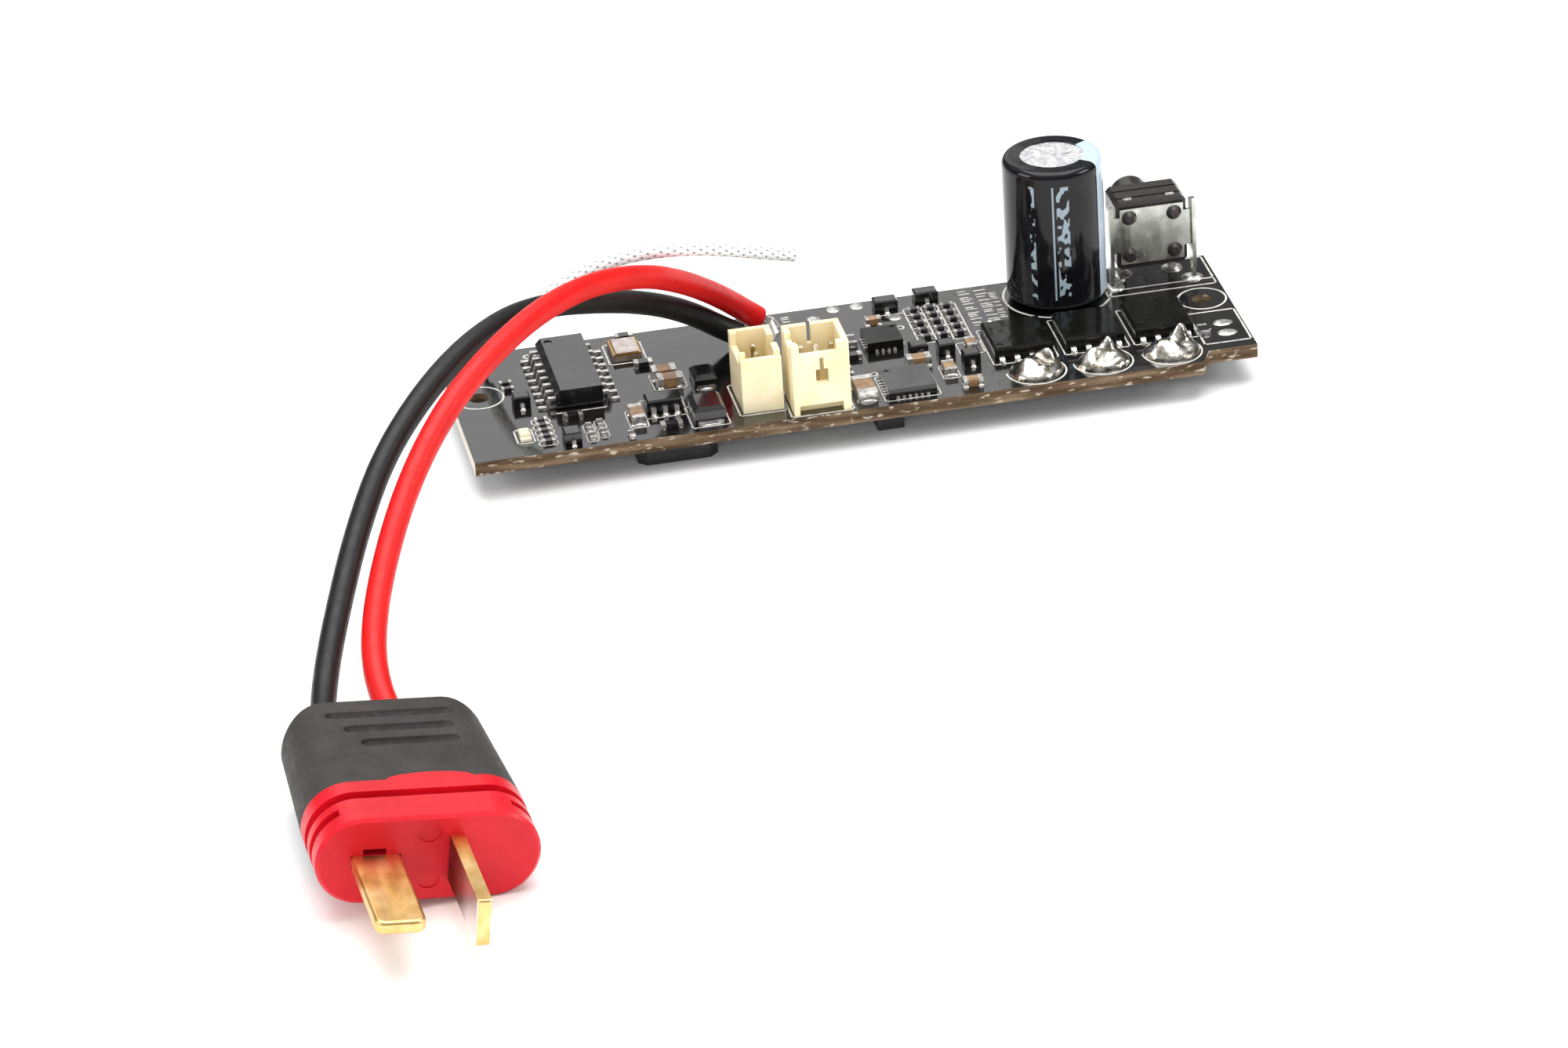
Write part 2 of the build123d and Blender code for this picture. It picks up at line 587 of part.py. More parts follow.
# ---------------------------------------------------------------- small three-lead transistors
# x, y, width, depth
SMALL_TRANSISTORS = (
    (5.35, 9.2, 1.4, 1.2),
    (8.25, 1.6, 1.4, 1.5),
    (38.3, 8.6, 1.5, 1.1),
    (40.5, 8.2, 1.4, 1.2),
    (42.1, 5.8, 1.4, 1.2),
    (37.45, 17.7, 2.0, 1.2),
    (41.0, 18.3, 2.0, 1.2),
)
small_lead = gull_lead(reach=0.55, rise=0.45, width=0.32, gauge=0.14)

with BuildPart(deck) as small_transistors:
    for x, y, width, depth in SMALL_TRANSISTORS:
        with Locations((x, y, 0.06)):
            Box(width, depth, 0.95, align=SIT)
    chamfer(small_transistors.faces().group_by(Axis.Z)[-1].edges(), 0.12)
small_transistors.part.label = "small_transistors"
export_step(small_transistors.part, "parts/small_transistors.step")

with BuildPart(deck) as small_transistor_leads:
    for x, y, width, depth in SMALL_TRANSISTORS:
        with Locations(*facing([(x, y - depth / 2)], -90)):
            add(small_lead)
        with Locations(*facing(row(y + depth / 2, x, width * 0.6, 2), 90)):
            add(small_lead)
small_transistor_leads.part.label = "small_transistor_leads"
export_step(small_transistor_leads.part, "parts/small_transistor_leads.step")

# ---------------------------------------------------------------- parts under the board
with BuildPart(belly) as power_inductor:
    with Locations((16.9, 5.0, -0.05)):
        Box(6.6, 6.0, UNDERSIDE_HEIGHT - 0.05, align=HANG)
    chamfer(power_inductor.edges().filter_by(Axis.Z), 0.7)
power_inductor.part.label = "power_inductor"
export_step(power_inductor.part, "parts/power_inductor.step")

TANTALUM_Y = 3.9
with BuildPart(belly) as tantalum_capacitor:
    with Locations((34.5, TANTALUM_Y, -0.05)):
        Box(2.2, 3.2, UNDERSIDE_HEIGHT - 0.05, align=HANG)
    chamfer(tantalum_capacitor.faces().sort_by(Axis.Z).first.edges(), 0.15)
tantalum_capacitor.part.label = "tantalum_capacitor"
export_step(tantalum_capacitor.part, "parts/tantalum_capacitor.step")

with BuildPart(belly) as tantalum_terminals:
    for side in (-1, 1):
        with Locations((34.5, TANTALUM_Y + side * 1.7)):
            Box(1.6, 0.2, 0.7, align=HANG)
tantalum_terminals.part.label = "tantalum_terminals"
export_step(tantalum_terminals.part, "parts/tantalum_terminals.step")

# ---------------------------------------------------------------- solder
MOTOR_JOINTS = ((46.8, 2.5), (52.4, 2.55), (58.2, 2.6))
MOTOR_JOINT_RADIUS = 2.0
with BuildPart(deck) as motor_solder_joints:
    with Locations(*MOTOR_JOINTS):
        Cylinder(MOTOR_JOINT_RADIUS, 0.35, align=SIT)
    with Locations(*[(x, y, 0.35) for x, y in MOTOR_JOINTS]):
        Cone(MOTOR_JOINT_RADIUS, 0.5, 1.75, align=SIT)
motor_solder_joints.part.label = "motor_solder_joints"
export_step(motor_solder_joints.part, "parts/motor_solder_joints.step")


def tail_joint(radius, height, hole_width, hole_depth):
    """A cone of solder below the board, around a square or flat pin."""
    with BuildPart() as joint:
        Cone(radius * 0.6, radius, height, align=HANG)
        Box(hole_width, hole_depth, height, align=HANG, mode=Mode.SUBTRACT)
    return joint.part


header_joint = tail_joint(0.6, 0.6, PIN_SIDE, PIN_SIDE)
switch_joint = tail_joint(0.95, 0.9, 0.7, 0.3)
bracket_joint = tail_joint(0.95, 0.9, BRACKET_GAUGE, 0.7)

with BuildPart(belly) as through_hole_solder:
    with Locations(*header_two_pins, *header_three_pins):
        add(header_joint)
    with Locations(*SWITCH_PINS):
        add(switch_joint)
    with Locations(*cap_pins):
        Cone(0.6, 1.0, 1.0, align=HANG)
        Cylinder(CAP_LEAD_RADIUS, 1.0, align=HANG, mode=Mode.SUBTRACT)
through_hole_solder.part.label = "through_hole_solder"
export_step(through_hole_solder.part, "parts/through_hole_solder.step")

# ---------------------------------------------------------------- T-plug
plug_x = Vector(1, 0, 0).rotate(Axis.Y, PLUG_ROLL).rotate(Axis.Z, PLUG_HEADING)
plug_z = Vector(0, -1, 0).rotate(Axis.Z, PLUG_HEADING)
plug = Plane(PLUG_FRONT, x_dir=plug_x, z_dir=plug_z)
plug_axis = Axis(PLUG_FRONT, plug_z)
plug_plan = Plane(PLUG_FRONT, x_dir=plug_x, z_dir=plug.y_dir)    # its +Y runs to the rear
CORE_INSET = 0.8
HUMP_MIDDLE, HUMP_WIDTH, HUMP_DEPTH = 1.1, 6.4, 0.85
GROOVE_FLOOR = 0.6
GROOVE_KEEP = 12.6          # the grooves stop this far apart, so that they cut the ends only
BARREL_RADIUS = 1.2
BARREL_END = 17.2
SLEEVE_WALL_START = 17.5
GRIP_GROOVES = ((0.9, 12.1, 6.2), (0.5, 14.4, 7.1), (0.2, 16.7, 8.5))    # x, depth, length
GRIP_RADIUS = 0.6
GRIP_HEIGHT = 3.45          # the scooping ball's centre, from the plug's middle plane


def hump_block():
    """The tongue of body that lies in a bay of the sleeve's front edge, through the full height."""
    with BuildPart() as block:
        with BuildSketch(plug_plan.offset(-PLUG_THICKNESS)):
            with Locations((HUMP_MIDDLE, COLLAR_DEPTH)):
                Ellipse(HUMP_WIDTH / 2, HUMP_DEPTH)
            with Locations((HUMP_MIDDLE, COLLAR_DEPTH)):
                Rectangle(HUMP_WIDTH, 4, align=(Align.CENTER, Align.MAX), mode=Mode.SUBTRACT)
        extrude(amount=2 * PLUG_THICKNESS)
    return block.part


hump = hump_block()
groove_width = PLUG_WIDTH - 2 * GROOVE_FLOOR
groove_thickness = PLUG_THICKNESS - 2 * GROOVE_FLOOR

with BuildPart() as plug_body:
    with BuildSketch(plug.offset(-COLLAR_DEPTH - HUMP_DEPTH)):
        SlotOverall(PLUG_WIDTH, PLUG_THICKNESS)
    extrude(amount=HUMP_DEPTH)
    add(hump, mode=Mode.INTERSECT)
    with BuildSketch(plug.offset(-COLLAR_DEPTH)):
        SlotOverall(PLUG_WIDTH, PLUG_THICKNESS)
    extrude(amount=COLLAR_DEPTH)
    with BuildSketch(plug.offset(-CORE_DEPTH)):
        SlotOverall(PLUG_WIDTH - 2 * CORE_INSET, PLUG_THICKNESS - 2 * CORE_INSET)
    extrude(amount=CORE_DEPTH - COLLAR_DEPTH)
    with BuildSketch(plug.offset(-1.5)):
        SlotOverall(PLUG_WIDTH + 2, PLUG_THICKNESS + 2)
        SlotOverall(groove_width, groove_thickness, mode=Mode.SUBTRACT)
        Rectangle(GROOVE_KEEP, PLUG_THICKNESS + 3, mode=Mode.SUBTRACT)
    extrude(amount=-0.9, mode=Mode.SUBTRACT)
    with BuildSketch(plug.offset(-3.3)):
        SlotOverall(PLUG_WIDTH + 2, PLUG_THICKNESS + 2)
        SlotOverall(groove_width, groove_thickness, mode=Mode.SUBTRACT)
    extrude(amount=-1.0, mode=Mode.SUBTRACT)
    chamfer(plug_body.faces().sort_by(plug_axis).last.outer_wire().edges(), 0.25)
    with BuildSketch(plug):
        with Locations((FLAT_BLADE_X, 0)):
            Rectangle(BLADE_WIDTH, BLADE_GAUGE)
        with Locations((UPRIGHT_BLADE_X, 0)):
            Rectangle(BLADE_GAUGE, BLADE_WIDTH)
    extrude(amount=-CORE_DEPTH, mode=Mode.SUBTRACT)
    with BuildSketch(plug):
        with Locations((FLAT_BLADE_X - 0.1, 0.78)):
            Rectangle(1.7, 0.5)
        with Locations((0, 2.16), (0, -1.6)):
            Circle(0.85)
    extrude(amount=-0.12, mode=Mode.SUBTRACT)
    with BuildSketch(plug):
        with Locations((FLAT_BLADE_X - 0.1, 0.78)):
            Rectangle(1.7, 0.5)
    extrude(amount=-2.0, mode=Mode.SUBTRACT)
plug_body.part.label = "plug_body"
export_step(plug_body.part, "parts/plug_body.step")

with BuildPart() as plug_sleeve:
    with BuildSketch(plug.offset(-COLLAR_DEPTH)):
        SlotOverall(PLUG_WIDTH, PLUG_THICKNESS)
    with BuildSketch(plug.offset(-PLUG_LENGTH)):
        SlotOverall(PLUG_WIDTH - 1.4, PLUG_THICKNESS - 0.7)
    loft()
    with BuildSketch(plug_plan.offset(-PLUG_THICKNESS)):
        with Locations((0, PLUG_LENGTH)):
            RectangleRounded(PLUG_WIDTH + 1, 2 * PLUG_LENGTH, 4.6, align=(Align.CENTER, Align.MAX))
    extrude(amount=2 * PLUG_THICKNESS, mode=Mode.INTERSECT)
    add(hump, mode=Mode.SUBTRACT)
    with BuildSketch(plug.offset(-COLLAR_DEPTH)):
        SlotOverall(PLUG_WIDTH - 2 * CORE_INSET, PLUG_THICKNESS - 2 * CORE_INSET)
    extrude(amount=COLLAR_DEPTH - CORE_DEPTH, mode=Mode.SUBTRACT)
    with BuildSketch(plug.offset(-CORE_DEPTH)):
        SlotOverall(12.4, 4.2)
    extrude(amount=CORE_DEPTH - SLEEVE_WALL_START, mode=Mode.SUBTRACT)
    with BuildSketch(plug.offset(-SLEEVE_WALL_START)):
        with Locations(*[(x, 0) for x in LEAD_ENTRY_X]):
            Circle(LEAD_RADIUS)
    extrude(amount=-3, mode=Mode.SUBTRACT)
    for x, depth, length in GRIP_GROOVES:
        for side in (-1, 1):
            with Locations(plug_plan.offset(side * GRIP_HEIGHT) * Location((x, depth, 0), (0, 90, 0))):
                Cylinder(GRIP_RADIUS, length, mode=Mode.SUBTRACT)
            for end in (-1, 1):
                with Locations(plug_plan.offset(side * GRIP_HEIGHT) * Location((x + end * length / 2, depth, 0))):
                    Sphere(GRIP_RADIUS, mode=Mode.SUBTRACT)
plug_sleeve.part.label = "plug_sleeve"
export_step(plug_sleeve.part, "parts/plug_sleeve.step")

with BuildPart() as flat_blade:
    with BuildSketch(plug.offset(-BLADE_TAIL)):
        with Locations((FLAT_BLADE_X, 0)):
            Rectangle(BLADE_WIDTH, BLADE_GAUGE)
    extrude(amount=BLADE_TAIL + BLADE_REACH)
    tip_edges = flat_blade.faces().sort_by(plug_axis).last.edges()
    fillet(tip_edges.sort_by(SortBy.LENGTH)[:2], 0.8)
    fillet(flat_blade.faces().sort_by(plug_axis).last.edges().sort_by(SortBy.LENGTH)[-2:], 0.3)
flat_blade.part.label = "flat_blade"
export_step(flat_blade.part, "parts/flat_blade.step")

with BuildPart() as upright_blade:
    with BuildSketch(plug.offset(-BLADE_TAIL)):
        with Locations((UPRIGHT_BLADE_X, 0)):
            Rectangle(BLADE_GAUGE, BLADE_WIDTH)
    extrude(amount=BLADE_TAIL + BLADE_REACH)
    tip = upright_blade.faces().sort_by(plug_axis).last
    fillet(tip.edges(), 0.2)
upright_blade.part.label = "upright_blade"
export_step(upright_blade.part, "parts/upright_blade.step")

with BuildPart(plug.offset(-BARREL_END)) as plug_solder:
    with Locations(*[(x, 0) for x in LEAD_ENTRY_X]):
        Cylinder(BARREL_RADIUS, BARREL_END - BLADE_TAIL, align=SIT)
plug_solder.part.label = "plug_solder"
export_step(plug_solder.part, "parts/plug_solder.step")


# ---------------------------------------------------------------- power leads and antenna
def plug_entry(x, depth):
    """A point on a lead's line through the sleeve, depth behind the plug's front face."""
    return tuple(plug.from_local_coords(Vector(x, 0, -depth)))


BLACK_ENTRY, RED_ENTRY = LEAD_ENTRY_X
RED_ROUTE = [
    (-6.1, 4.6, 4.75),
    (-7.2, 4.2, 5.75),
    (-8.7, 3.0, 7.4),
    (-10.7, 0.8, 9.6),
    (-13.4, -2.3, 12.3),
    (-16.9, -6.4, 15.2),
    (-21.6, -11.2, 17.5),
    (-26.6, -16.7, 18.6),
    (-31.4, -22.1, 18.2),
    (-36.2, -27.6, 16.6),
    (-40.2, -33.3, 13.8),
    (-43.3, -39.3, 10.6),
    (-45.4, -45.0, 7.6),
    (-46.0, -49.3, 5.5),
    plug_entry(RED_ENTRY, PLUG_LENGTH + 2.2),
    plug_entry(RED_ENTRY, BARREL_END),
]
BLACK_ROUTE = [
    (-8.1, 2.5, 4.45),
    (-9.6, 2.4, 5.4),
    (-11.6, 1.8, 7.05),
    (-14.3, 0.1, 9.1),
    (-17.7, -2.8, 11.35),
    (-21.4, -6.5, 13.6),
    (-25.4, -10.6, 15.8),
    (-29.5, -14.9, 17.2),
    (-33.7, -19.6, 17.3),
    (-37.9, -24.7, 16.2),
    (-41.9, -30.2, 14.1),
    (-45.0, -36.2, 11.3),
    (-47.5, -42.2, 8.4),
    (-49.5, -47.7, 5.9),
    plug_entry(BLACK_ENTRY, PLUG_LENGTH + 2.4),
    plug_entry(BLACK_ENTRY, BARREL_END),
]
ANTENNA_ROUTE = [
    (-29.0, 4.0, 4.6),
    (-28.6, 2.3, 6.2),
    (-27.4, 1.1, 8.5),
    (-25.5, 0.6, 10.4),
    (-23.3, 0.1, 12.0),
    (-20.8, -0.3, 13.4),
    (-18.0, -1.1, 14.5),
    (-14.7, -1.8, 15.0),
    (-11.1, -1.9, 14.7),
    (-7.4, -1.3, 13.6),
    (-3.6, -0.1, 12.2),
]
STUB_LENGTH = 1.3


def corner_radii(route):
    """Each corner's arc: 0.45 of its shorter run, over the tangent of half its turn."""
    points = [Vector(*point) for point in route]
    radii = []
    for before, here, after in zip(points, points[1:], points[2:]):
        turn = (here - before).get_angle(after - here)
        shorter = min((here - before).length, (after - here).length)
        radii.append(0.45 * shorter / tan(radians(turn) / 2))
    return radii


def tube(route, radius, name):
    """A round cord along a route, straight runs joined by tangent arcs."""
    radii = corner_radii(route)
    with BuildPart() as cord:
        with BuildLine() as path:
            FilletPolyline(*route, radius=radii)
        line = path.wires()[0]
        with BuildSketch(Plane(line @ 0, z_dir=line % 0)):
            Circle(radius)
        sweep(path=line)
    fullness = cord.part.volume / (line.length * pi * radius**2)
    print(f"{name}: length {line.length:.1f} mm, volume {fullness:.4f} of section x length")
    print(f"{name}: smallest bend {min(radii) / (2 * radius):.1f} diameters")
    return cord.part


red_lead = tube(RED_ROUTE, LEAD_RADIUS, "red_lead")
red_lead.label = "red_lead"
export_step(red_lead, "parts/red_lead.step")

black_lead = tube(BLACK_ROUTE, LEAD_RADIUS, "black_lead")
black_lead.label = "black_lead"
export_step(black_lead, "parts/black_lead.step")

antenna = tube(ANTENNA_ROUTE, ANTENNA_RADIUS, "antenna")
antenna.label = "antenna"
export_step(antenna, "parts/antenna.step")


def solder_start(route, conductor, radius, height):
    """A blob of solder on the board around a bare conductor that meets the start of a cord."""
    start = Vector(*route[0])
    heading = (Vector(*route[1]) - start).normalized()
    foot = start - heading * STUB_LENGTH
    with BuildPart() as joint:
        with BuildSketch(Plane(start, z_dir=-heading)):
            Circle(conductor)
        extrude(amount=STUB_LENGTH)
        with Locations((foot.X, foot.Y, deck.origin.Z)):
            Cone(radius, radius * 0.45, height, align=SIT)
        with Locations((foot.X, foot.Y, deck.origin.Z)):
            Box(4 * radius, 4 * radius, 4, align=HANG, mode=Mode.SUBTRACT)
    return joint.part


with BuildPart() as battery_solder_joints:
    add(solder_start(RED_ROUTE, CONDUCTOR_RADIUS, 1.1, 0.95))
    add(solder_start(BLACK_ROUTE, CONDUCTOR_RADIUS, 1.1, 0.95))
battery_solder_joints.part.label = "battery_solder_joints"
export_step(battery_solder_joints.part, "parts/battery_solder_joints.step")

with BuildPart() as antenna_solder_joint:
    add(solder_start(ANTENNA_ROUTE, 0.25, 0.7, 0.7))
antenna_solder_joint.part.label = "antenna_solder_joint"
export_step(antenna_solder_joint.part, "parts/antenna_solder_joint.step")
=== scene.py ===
"""Looks of the electronic speed controller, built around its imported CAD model."""

import math
import random

import bmesh
import bpy
from mathutils import Matrix, Vector


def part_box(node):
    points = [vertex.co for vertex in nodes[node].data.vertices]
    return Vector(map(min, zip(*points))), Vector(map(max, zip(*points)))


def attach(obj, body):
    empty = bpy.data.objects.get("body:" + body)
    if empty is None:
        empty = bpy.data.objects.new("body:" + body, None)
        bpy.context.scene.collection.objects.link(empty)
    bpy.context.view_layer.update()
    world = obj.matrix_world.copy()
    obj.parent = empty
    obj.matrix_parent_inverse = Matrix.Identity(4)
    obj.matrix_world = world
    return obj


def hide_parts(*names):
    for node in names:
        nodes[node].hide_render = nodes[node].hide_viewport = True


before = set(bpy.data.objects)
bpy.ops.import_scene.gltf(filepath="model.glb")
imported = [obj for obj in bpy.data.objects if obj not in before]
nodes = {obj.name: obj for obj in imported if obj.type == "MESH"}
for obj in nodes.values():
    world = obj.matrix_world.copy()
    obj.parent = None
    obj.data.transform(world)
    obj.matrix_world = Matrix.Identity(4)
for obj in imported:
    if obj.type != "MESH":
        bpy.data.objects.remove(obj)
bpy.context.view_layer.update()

MM = 0.001
ROOT = "board"
BOARD_LOW, BOARD_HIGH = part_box("circuit_board")
DECK = BOARD_HIGH.z          # height of the board's top face


def board(x, y, z=0.0):
    """Row-frame point, in metres, of a place in millimetres from the board's front left corner."""
    return Vector((BOARD_LOW.x + x * MM, BOARD_LOW.y + y * MM, DECK + z * MM))


# ---------------------------------------------------------------- camera
CAMERA_PLACE = (-0.094342, -0.51344, 0.257236)
CAMERA_LENS, CAMERA_SENSOR = 162, 36      # millimetres
CAMERA_YAW, CAMERA_PITCH, CAMERA_ROLL = 9.791, 27.35, -3.528     # degrees right, down, anticlockwise
camera_data = bpy.data.cameras.new("camera")
camera_data.lens = CAMERA_LENS
camera_data.sensor_width = CAMERA_SENSOR
camera_data.clip_start = 0.01
camera = bpy.data.objects.new("camera", camera_data)
bpy.context.scene.collection.objects.link(camera)
bpy.context.scene.camera = camera
yaw, pitch, roll = (math.radians(angle) for angle in (CAMERA_YAW, CAMERA_PITCH, CAMERA_ROLL))
forward = Vector((
    math.sin(yaw) * math.cos(pitch),
    math.cos(yaw) * math.cos(pitch),
    -math.sin(pitch),
))
level_right = Vector((math.cos(yaw), -math.sin(yaw), 0))
level_up = level_right.cross(forward)
right = math.cos(roll) * level_right + math.sin(roll) * level_up
up = -math.sin(roll) * level_right + math.cos(roll) * level_up
turn = Matrix((right, up, -forward)).transposed()
camera.matrix_world = Matrix.Translation(CAMERA_PLACE) @ turn.to_4x4()

# ---------------------------------------------------------------- cord routes
LEAD_DIAMETER = 1.96 * MM
ANTENNA_DIAMETER = 1.1 * MM
RED_ROUTE = [
    (-6.1, 4.6, 4.75),
    (-7.2, 4.2, 5.75),
    (-8.7, 3.0, 7.4),
    (-10.7, 0.8, 9.6),
    (-13.4, -2.3, 12.3),
    (-16.9, -6.4, 15.2),
    (-21.6, -11.2, 17.5),
    (-26.6, -16.7, 18.6),
    (-31.4, -22.1, 18.2),
    (-36.2, -27.6, 16.6),
    (-40.2, -33.3, 13.8),
    (-43.3, -39.3, 10.6),
    (-45.4, -45.0, 7.6),
    (-46.0, -49.3, 5.5),
    (-45.40, -53.46, 3.90),
    (-45.23, -57.45, 3.90),
]
BLACK_ROUTE = [
    (-8.1, 2.5, 4.45),
    (-9.6, 2.4, 5.4),
    (-11.6, 1.8, 7.05),
    (-14.3, 0.1, 9.1),
    (-17.7, -2.8, 11.35),
    (-21.4, -6.5, 13.6),
    (-25.4, -10.6, 15.8),
    (-29.5, -14.9, 17.2),
    (-33.7, -19.6, 17.3),
    (-37.9, -24.7, 16.2),
    (-41.9, -30.2, 14.1),
    (-45.0, -36.2, 11.3),
    (-47.5, -42.2, 8.4),
    (-49.5, -47.7, 5.9),
    (-50.76, -53.48, 4.56),
    (-50.59, -57.68, 4.56),
]
ANTENNA_ROUTE = [
    (-29.0, 4.0, 4.6),
    (-28.6, 2.3, 6.2),
    (-27.4, 1.1, 8.5),
    (-25.5, 0.6, 10.4),
    (-23.3, 0.1, 12.0),
    (-20.8, -0.3, 13.4),
    (-18.0, -1.1, 14.5),
    (-14.7, -1.8, 15.0),
    (-11.1, -1.9, 14.7),
    (-7.4, -1.3, 13.6),
    (-3.6, -0.1, 12.2),
]


def route_curve(name, route, diameter=0.0):
    """A NURBS cord through space, with the route's points as its control points."""
    data = bpy.data.curves.new(name, "CURVE")
    data.dimensions = "3D"
    data.resolution_u = 12
    data.bevel_depth = 1 if diameter else 0      # each point's radius is the cord's own
    data.bevel_resolution = 8
    data.use_fill_caps = diameter > 0
    spline = data.splines.new("NURBS")
    spline.points.add(len(route) - 1)
    for point, place in zip(spline.points, route):
        point.co = (*[value * MM for value in place], 1)
        point.radius = diameter / 2
    spline.order_u = 3
    spline.use_endpoint_u = True
    cord = bpy.data.objects.new(name, data)
    bpy.context.scene.collection.objects.link(cord)
    return cord


def centreline(curve):
    """The points that a curve with no bevel passes through."""
    mesh = bpy.data.meshes.new_from_object(curve)
    points = [vertex.co.copy() for vertex in mesh.vertices]
    bpy.data.meshes.remove(mesh)
    return points


def line_length(points):
    """Length of the line through the points."""
    return sum((b - a).length for a, b in zip(points, points[1:]))


def measured(route):
    """The points along a route's own curve, in metres."""
    guide = route_curve("guide", route)
    points = centreline(guide)
    data = guide.data
    bpy.data.objects.remove(guide)
    bpy.data.curves.remove(data)
    return points


red_lead = route_curve("red_lead_skin", RED_ROUTE, LEAD_DIAMETER)
black_lead = route_curve("black_lead_skin", BLACK_ROUTE, LEAD_DIAMETER)
for cord, node in ((red_lead, "red_lead"), (black_lead, "black_lead")):
    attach(cord, ROOT)
    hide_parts(node)


# ---------------------------------------------------------------- mesh helpers
def new_piece(name, bm, smooth=True):
    """A mesh object that rides on the board."""
    bmesh.ops.recalc_face_normals(bm, faces=bm.faces)
    mesh = bpy.data.meshes.new(name)
    bm.to_mesh(mesh)
    bm.free()
    if smooth:
        mesh.shade_smooth()
    piece = bpy.data.objects.new(name, mesh)
    bpy.context.scene.collection.objects.link(piece)
    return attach(piece, ROOT)


def smoothstep(edge0, edge1, value):
    """0 below edge0, 1 above edge1 and a smooth rise between them."""
    t = min(max((value - edge0) / (edge1 - edge0), 0.0), 1.0)
    return t * t * (3 - 2 * t)


# ---------------------------------------------------------------- antenna braid
BRAID_PITCH = 1.05 * MM
BRAID_SIDES = 32
RING_STEP = 0.06 * MM
BRAID_RELIEF = 0.1          # depth of the weave, as a share of the radius


def resample(points, step):
    """Points an equal distance apart along a line, about step from each other."""
    total = line_length(points)
    count = int(total / step)
    out = []
    walked, index = 0.0, 0
    for n in range(count + 1):
        goal = total * n / count
        while index < len(points) - 2 and walked + (points[index + 1] - points[index]).length < goal:
            walked += (points[index + 1] - points[index]).length
            index += 1
        start, end = points[index], points[index + 1]
        share = (goal - walked) / (end - start).length
        out.append(start.lerp(end, share))
    return out


def braid_height(angle, along):
    """How proud the braid stands, 0 to 1, where two sets of strands cross over and under."""
    turns = 2 * math.pi * along / (2 * BRAID_PITCH)
    a = (3 * angle + turns) / math.pi
    b = (3 * angle - turns) / math.pi
    strand_a = abs(math.sin(a * math.pi))
    strand_b = abs(math.sin(b * math.pi))
    over = (math.floor(a) + math.floor(b)) % 2
    first, second = (strand_a, strand_b) if over else (strand_b, strand_a)
    return max(smoothstep(0.15, 0.75, first), 0.75 * smoothstep(0.25, 0.85, second))


antenna_line = measured(ANTENNA_ROUTE)
antenna_points = resample(antenna_line, RING_STEP)
bm = bmesh.new()
braid_layer = bm.verts.layers.float.new("braid")
radius = ANTENNA_DIAMETER / 2
normal = Vector((0, 0, 1))
rings = []
for n, centre in enumerate(antenna_points):
    before = antenna_points[max(n - 1, 0)]
    after = antenna_points[min(n + 1, len(antenna_points) - 1)]
    heading = (after - before).normalized()
    normal = (normal - heading * normal.dot(heading)).normalized()
    binormal = heading.cross(normal)
    ring = []
    for s in range(BRAID_SIDES):
        angle = 2 * math.pi * s / BRAID_SIDES
        height = braid_height(angle, n * RING_STEP)
        reach = radius * (1 - BRAID_RELIEF + BRAID_RELIEF * height)
        vertex = bm.verts.new(centre + (normal * math.cos(angle) + binormal * math.sin(angle)) * reach)
        vertex[braid_layer] = height
        ring.append(vertex)
    rings.append(ring)
for ring, following in zip(rings, rings[1:]):
    for s in range(BRAID_SIDES):
        t = (s + 1) % BRAID_SIDES
        bm.faces.new((ring[s], ring[t], following[t], following[s]))
bm.faces.new(rings[0])
bm.faces.new(rings[-1])
antenna = new_piece("antenna_braid", bm)
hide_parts("antenna")

line_length(measured(RED_ROUTE))
line_length(measured(BLACK_ROUTE))

# ---------------------------------------------------------------- printed marks on the board
INK = 0.02 * MM
LINE = 0.16
bm = bmesh.new()


def slab(corners):
    """A thin prism of ink over a polygon given in board millimetres."""
    low = [bm.verts.new(board(x, y)) for x, y in corners]
    high = [bm.verts.new(board(x, y) + Vector((0, 0, INK))) for x, y in corners]
    bm.faces.new(high)
    for n in range(len(corners)):
        m = (n + 1) % len(corners)
        bm.faces.new((low[n], low[m], high[m], high[n]))


def stroke(x0, y0, x1, y1, width=LINE):
    """A straight line of ink between two board places."""
    run = math.hypot(x1 - x0, y1 - y0)
    dx, dy = (x1 - x0) / run * width / 2, (y1 - y0) / run * width / 2
    slab([
        (x0 - dx - dy, y0 - dy + dx),
        (x0 - dx + dy, y0 - dy - dx),
        (x1 + dx + dy, y1 + dy - dx),
        (x1 + dx - dy, y1 + dy + dx),
    ])


def frame_box(x0, y0, x1, y1, width=LINE):
    """An outline of ink between two opposite corners."""
    stroke(x0, y0, x1, y0, width)
    stroke(x1, y0, x1, y1, width)
    stroke(x1, y1, x0, y1, width)
    stroke(x0, y1, x0, y0, width)


def circle(x, y, r, width=LINE, start=0, end=360):
    """A ring or an arc of ink."""
    steps = max(int((end - start) / 7.5), 3)
    for n in range(steps):
        a = math.radians(start + (end - start) * n / steps)
        b = math.radians(start + (end - start) * (n + 1) / steps)
        inner, outer = r - width / 2, r + width / 2
        slab([
            (x + inner * math.cos(a), y + inner * math.sin(a)),
            (x + outer * math.cos(a), y + outer * math.sin(a)),
            (x + outer * math.cos(b), y + outer * math.sin(b)),
            (x + inner * math.cos(b), y + inner * math.sin(b)),
        ])


